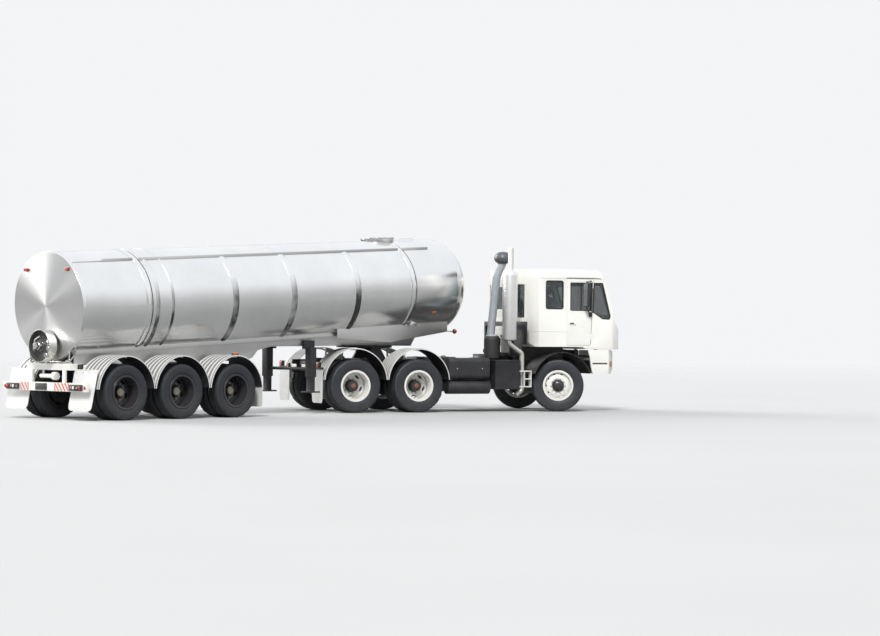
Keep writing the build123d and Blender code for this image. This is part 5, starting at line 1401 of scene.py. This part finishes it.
def makeTractorLamps():
    look, tail = frontLook, tailLook
    face, half, (low, high) = look["face"], look["lampHalf"], look["lampHeights"]
    bm = bmesh.new()
    for side in (1, -1):
        y, middle = side * look["lampMiddle"], (low + high) / 2
        addBox(bm, (face - 0.060, y - half, low), (face - 0.050, y + half, high), 0)
        outer = rectangle((y - half - 0.0015, y + half + 0.0015), (low - 0.0015, high + 0.0015))
        inner = rectangle((y - half + 0.020, y + half - 0.020), (low + 0.020, high - 0.020))
        addFrame(bm, roundedOutline(outer, 0.002, 3), roundedOutline(inner, 0.02, 3), "x", face - 0.055, face - 0.003)
        for offset in look["bulbs"]:
            place, _ = alongAxis((face - 0.050, y + offset, middle), (face, y + offset, middle))
            addLathe(bm, [(0.020, 0.001), (0.050, 0.020), (0.056, 0.036), (0.060, 0.036)], 4, 36, place)
            addLathe(bm, [(0.057, 0.034), (0.054, 0.040), (0.030, 0.045), (0, 0.046)], 3, 36, place)
        # a turn lamp on the bumper's bevelled corner
        x, across, z = look["turnLamp"]
        corner = Matrix.Translation((x, side * across, z)) @ Matrix.Rotation(side * math.radians(45), 4, "Z")
        addBox(bm, (-0.004, -0.050, -0.052), (0.006, 0.050, 0.052), 0, 0.003, corner)
        addBox(bm, (0.002, -0.042, -0.044), (0.016, 0.042, 0.044), 2, 0.006, corner)
    foot, top = tail["lampHeights"]
    for side in (1, -1):
        # tail lamps on the end of the frame
        y = side * tail["lamp"]
        addBox(bm, (-5.100, y - 0.050, foot), (-5.0495, y + 0.050, top), 0, 0.006)
        addBox(bm, (-5.109, y - 0.044, foot + 0.006), (-5.098, y + 0.044, foot + 0.056), 1, 0.006)
        addBox(bm, (-5.109, y - 0.044, foot + 0.060), (-5.098, y + 0.044, top - 0.006), 2, 0.006)
    finishPiece("tractorLamps.all", bm, tractorFrame, "tractor", "blackPlastic lensRed lensAmber lensClear brightSteel",
                ["tractor_lamps"])


def makeBumperTrim():
    look, face = frontLook, frontLook["face"]
    (rear, front), (low, high) = look["band"], look["bandHeights"]
    bm = bmesh.new()
    for side in (1, -1):
        addBox(bm, (rear, side * 1.1775, low), (front, side * 1.1865, high), 0, 0.001)
    half, (low, high) = look["plateHalf"], look["plateHeights"]
    addBox(bm, (face, -half, low), (face + 0.004, half, high), 1, 0.001)
    for y in look["fogLamps"]:
        addRod(bm, (face - 0.002, y, 0.850), (face + 0.006, y, 0.850), 0.030, 0, 24, 0.002)
    finishPiece("bumperTrim", bm, tractorFrame, "tractor", "blackRubber cabWhite")


def makeTractorTrim():
    # marker lamps on the flap brackets, a blank plate by the frame's end, a fuel cap and the straps' bolts
    look = tailLook
    (inner, outer), (foot, top) = look["marker"], look["markerHeights"]
    (near, far), (low, high) = look["plate"], look["plateHeights"]
    bm = bmesh.new()
    for side in (1, -1):
        addBox(bm, (-5.078, side * inner, foot), (-5.020, side * outer, top), 2, 0.006)
        middle = side * (inner + outer) / 2
        addBox(bm, (-5.088, middle - 0.066, foot + 0.012), (-5.076, middle - 0.002, top - 0.012), 3, 0.006)
        addBox(bm, (-5.088, middle + 0.002, foot + 0.012), (-5.076, middle + 0.066, top - 0.012), 4, 0.006)
        addBox(bm, (-5.0745, side * near, low), (-5.0615, side * far, high), 0, 0.002)
        x, y = look["fuelCap"][0], side * look["fuelCap"][1]
        addRod(bm, (x, y, 1.068), (x, y, 1.094), 0.052, 1, 28, 0.006)
        addRod(bm, (x, y, 1.094), (x, y, 1.102), 0.030, 1, 20, 0.003)
        for x in look["straps"]:
            addRod(bm, (x, side * 1.112, 0.86), (x, side * 1.122, 0.86), 0.014, 1, 6)
    finishPiece("tractorTrim", bm, tractorFrame, "tractor", "cabWhite brightSteel blackPlastic lensRed lensAmber")


makeCabTrim()
makeDoorTrim()
makeTractorLamps()
makeBumperTrim()
makeTractorTrim()
print("stage: cab and lamps")


# Seats

seatLook = {
    "y": 0.760, "crown": 0.030, "channels": 4, "channelDepth": 0.008, "cuts": 23, "squareness": 5.0,
    "pressure": 2.0, "swellLimit": 0.010,
    # each pad's middle, size and lean in degrees
    "Cushion": ((0.300, 0, 1.632), (0.500, 0.480, 0.120), -4), "Back": ((0.037, 0, 1.985), (0.640, 0.460, 0.105), 83),
    "Headrest": ((-0.004, 0, 2.435), (0.160, 0.240, 0.080), 83),
}
seatPads = ("Cushion", "Back", "Headrest")


def pillowMesh(size):
    # a crowned pad about its own middle: its sides pull in between the corners and its face is sewn in channels
    look = seatLook
    bm = bmesh.new()
    bmesh.ops.create_cube(bm, size=1.0)
    bmesh.ops.subdivide_edges(bm, edges=bm.edges[:], cuts=look["cuts"], use_grid_fill=True)
    half, power = Vector(size) / 2, look["squareness"]
    for v in bm.verts:
        u = v.co * 2
        norm = (abs(u.x) ** power + abs(u.y) ** power + abs(u.z) ** power) ** (1 / power)
        p = u / norm if norm > 1 else u
        bulge = max(0.0, 1 - p.x ** 2) * max(0.0, 1 - p.y ** 2)
        pull = 1 - 0.03 * (1 - p.x ** 2) * (1 - p.z ** 2) if abs(p.y) > 0.8 else 1.0
        z = p.z * half.z
        if p.z > 0.3:
            place = p.y * look["channels"] / 2
            z += look["crown"] * bulge
            z -= look["channelDepth"] * math.exp(-((place - round(place)) / 0.10) ** 2) * bulge ** 0.3
        v.co = (p.x * half.x, p.y * half.y * pull, z)
    colourFaces(bm.faces, 0)
    return bm


def swell(piece, pressure, cap):
    # the pad filled like a cushion by a short cloth run, its result kept in the mesh
    start = [v.co.copy() for v in piece.data.vertices]
    cloth = piece.modifiers.new("fill", "CLOTH")
    cloth.settings.use_pressure = True
    cloth.settings.uniform_pressure_force = pressure
    cloth.settings.mass = 0.4
    cloth.settings.tension_stiffness = 30
    cloth.settings.compression_stiffness = 30
    cloth.settings.effector_weights.gravity = 0.0
    cloth.point_cache.frame_end = 20
    scene = bpy.context.scene
    for number in range(1, 21):
        scene.frame_set(number)
    shaped = piece.evaluated_get(bpy.context.evaluated_depsgraph_get())
    moved = [v.co.copy() for v in shaped.to_mesh().vertices]
    shaped.to_mesh_clear()
    piece.modifiers.remove(cloth)
    scene.frame_set(1)
    for v, old, new in zip(piece.data.vertices, start, moved):
        step = new - old
        v.co = old + step * min(1.0, cap / max(step.length, 1e-6))


def makeSeats():
    look = seatLook
    pads = {}
    for label in seatPads:
        pads[label] = finishMesh("seat" + label, pillowMesh(look[label][1]), "seatCloth", 180)
        trial = addObject("trial" + label, pads[label])
        swell(trial, look["pressure"], look["swellLimit"])
        bpy.data.objects.remove(trial)
    bases = bmesh.new()
    for name, side in sides:
        y = side * look["y"]
        for label in seatPads:
            middle, _, lean = look[label]
            place = tractorFrame @ Matrix.Translation((middle[0], y, middle[2]))
            place @= Matrix.Rotation(math.radians(lean), 4, "Y")
            pad = placeMesh(f"seat{label}.{name}", pads[label], place, "cab",
                            ["cab_seats"] if label == "Cushion" else [])
        addBox(bases, (0.08, y - 0.19, 1.3455), (0.50, y + 0.19, 1.50), 0, 0.02)
        addBox(bases, (0.05, y - 0.225, 1.50), (0.54, y + 0.225, 1.572), 0, 0.02)
        rest = [(0.055, 1.56), (0.085, 1.56), (-0.030, 2.40), (-0.060, 2.40)]
        shell = [(-0.010, 1.66), (0.015, 1.66), (-0.062, 2.31), (-0.087, 2.31)]
        addPrism(bases, rest, "y", y - 0.05, y + 0.05, 0, 0.006)
        addPrism(bases, shell, "y", y - 0.215, y + 0.215, 0, 0.01)
    finishPiece("seatBases", bases, tractorFrame, "cab", "blackPlastic")


makeSeats()
print("stage: seats")


# Camera, light and floor

cameraLook = {
    "place": (-22.229, -46.137, 1.666),     # metres, in the tractor's frame
    "yaw": 23.62, "pitch": 0.22, "roll": 0.46, "focalPixels": 2500.0, "frameWidth": 880.0, "sensor": 36.0,
}


def makeCamera():
    look = cameraLook
    yaw, pitch, roll = (math.radians(look[k]) for k in ("yaw", "pitch", "roll"))
    forward = Vector((math.sin(yaw) * math.cos(pitch), math.cos(yaw) * math.cos(pitch), math.sin(pitch)))
    level = Vector((math.cos(yaw), -math.sin(yaw), 0))
    up = level.cross(forward)
    right = level * math.cos(roll) + up * math.sin(roll)
    turn = Matrix((right, right.cross(forward), -forward)).transposed().to_4x4()
    data = bpy.data.cameras.new("photoView")
    data.sensor_width = look["sensor"]
    data.lens = look["sensor"] * look["focalPixels"] / look["frameWidth"]
    data.clip_end = 500
    camera = addObject("photoView", data)
    camera.matrix_world = Matrix.Translation(tractorFrame @ Vector(look["place"])) @ turn
    bpy.context.scene.camera = camera


studioLook = {
    "floorRadius": 90.0, "floorFade": (26.0, 80.0), "floorColour": (0.49, 0.495, 0.50), "sky": (0.93, 0.95, 0.98),
    "horizon": (0.60, 0.62, 0.64), "skyStrength": 0.70, "background": (0.90, 0.91, 0.92),
    "lampColour": (1.0, 0.985, 0.96), "sunStrength": 3.0, "sunAngle": 16.0, "sunTurn": (46.0, 0.0, -32.0),
    "fanStrength": 2.6, "fanAngle": 36.0, "fanTravel": (0.20, -0.90, -0.40),
    "mirrorWhite": 1.12, "mirrorRise": (0.03, 0.38), "mirrorWay": (0.94, 0.34, 0.0),
    # what polished metal sees low down: (way round, brightness)
    "mirrorLow": ((0.0, 0.26), (0.35, 0.30), (0.55, 0.66), (0.70, 0.72), (0.875, 0.50), (0.965, 0.30)),
    "mirrorFloor": 0.55,
}


def makeFloor():
    look = studioLook
    bm = bmesh.new()
    bmesh.ops.create_circle(bm, cap_ends=True, radius=look["floorRadius"], segments=96)
    mesh = bpy.data.meshes.new("studioFloor")
    bm.to_mesh(mesh)
    bm.free()
    floor = addObject("studioFloor", mesh)
    material, tree, shader = newMaterial("studioFloor")
    tone = useGroup(tree, "toneShift", paint=look["floorColour"], scale=0.15, amount=0.04)
    # polished metal sees a darker floor, as it would out on a road
    glossy = addNode(tree, "LightPath").outputs["Is Glossy Ray"]
    dim = ranged(tree, glossy, 0.0, 1.0, 1.0, look["mirrorFloor"])
    shade = addNode(tree, "HueSaturation", [("Color", tone["Colour"]), ("Value", dim)])
    reach = addNode(tree, "VectorMath", [(0, onObject(tree))], operation="LENGTH").outputs["Value"]
    fill(tree, shader["Base Color"], shade.outputs["Color"])
    fill(tree, shader["Alpha"], ranged(tree, reach, *look["floorFade"], 1.0, 0.0))
    shader["Roughness"].default_value = 0.9
    mesh.materials.append(material)


def makeWorld():
    # a pale backdrop for the camera, soft sky light for the rest, and a scene of its own for polished metal
    look = studioLook
    world = bpy.data.worlds.new("studio")
    bpy.context.scene.world = world
    world.use_nodes = True
    tree = world.node_tree
    tree.nodes.clear()
    way = addNode(tree, "TexCoord").outputs["Generated"]
    height = addNode(tree, "SeparateXYZ", [(0, way)]).outputs["Z"]
    sky = mixColour(tree, ranged(tree, height, -0.05, 0.45), look["horizon"], look["sky"])
    turn = addNode(tree, "VectorMath", [(0, way), (1, look["mirrorWay"])], operation="DOT_PRODUCT").outputs["Value"]
    ramp = addNode(tree, "ValToRGB", [(0, ranged(tree, turn, -1.0, 1.0))])
    for k, (place, grey) in enumerate(look["mirrorLow"]):
        stop = ramp.color_ramp.elements[k] if k < 2 else ramp.color_ramp.elements.new(place)
        stop.position = place
        stop.color = (grey, grey, grey * 1.01, 1)
    mirror = mixColour(tree, ranged(tree, height, *look["mirrorRise"]), ramp.outputs["Color"], look["sky"])
    lights = []
    for colour, strength in ((sky, look["skyStrength"]), (mirror, look["mirrorWhite"]), (look["background"], 1.0)):
        lights.append(addNode(tree, "Background", [("Color", colour), ("Strength", strength)]).outputs[0])
    rays = addNode(tree, "LightPath").outputs
    polished = maths(tree, "MAXIMUM", rays["Is Glossy Ray"], rays["Is Transmission Ray"])
    light = addNode(tree, "MixShader", [(0, polished), (1, lights[0]), (2, lights[1])]).outputs[0]
    seen = addNode(tree, "MixShader", [(0, rays["Is Camera Ray"]), (1, light), (2, lights[2])]).outputs[0]
    addNode(tree, "OutputWorld", [("Surface", seen)])


def makeLamps():
    look = studioLook
    travel = trailerFrame.to_3x3() @ Vector(look["fanTravel"])
    turns = {"sun": [math.radians(a) for a in look["sunTurn"]], "fan": travel.to_track_quat("-Z", "Y").to_euler()}
    for kind, name in (("sun", "softSun"), ("fan", "fanSun")):
        data = bpy.data.lights.new(name, "SUN")
        data.energy = look[kind + "Strength"]
        data.angle = math.radians(look[kind + "Angle"])
        data.color = look["lampColour"]
        addObject(name, data).rotation_euler = turns[kind]


makeCamera()
makeFloor()
makeWorld()
makeLamps()
bpy.context.scene.view_settings.view_transform = "Standard"
print("stage: camera and light")
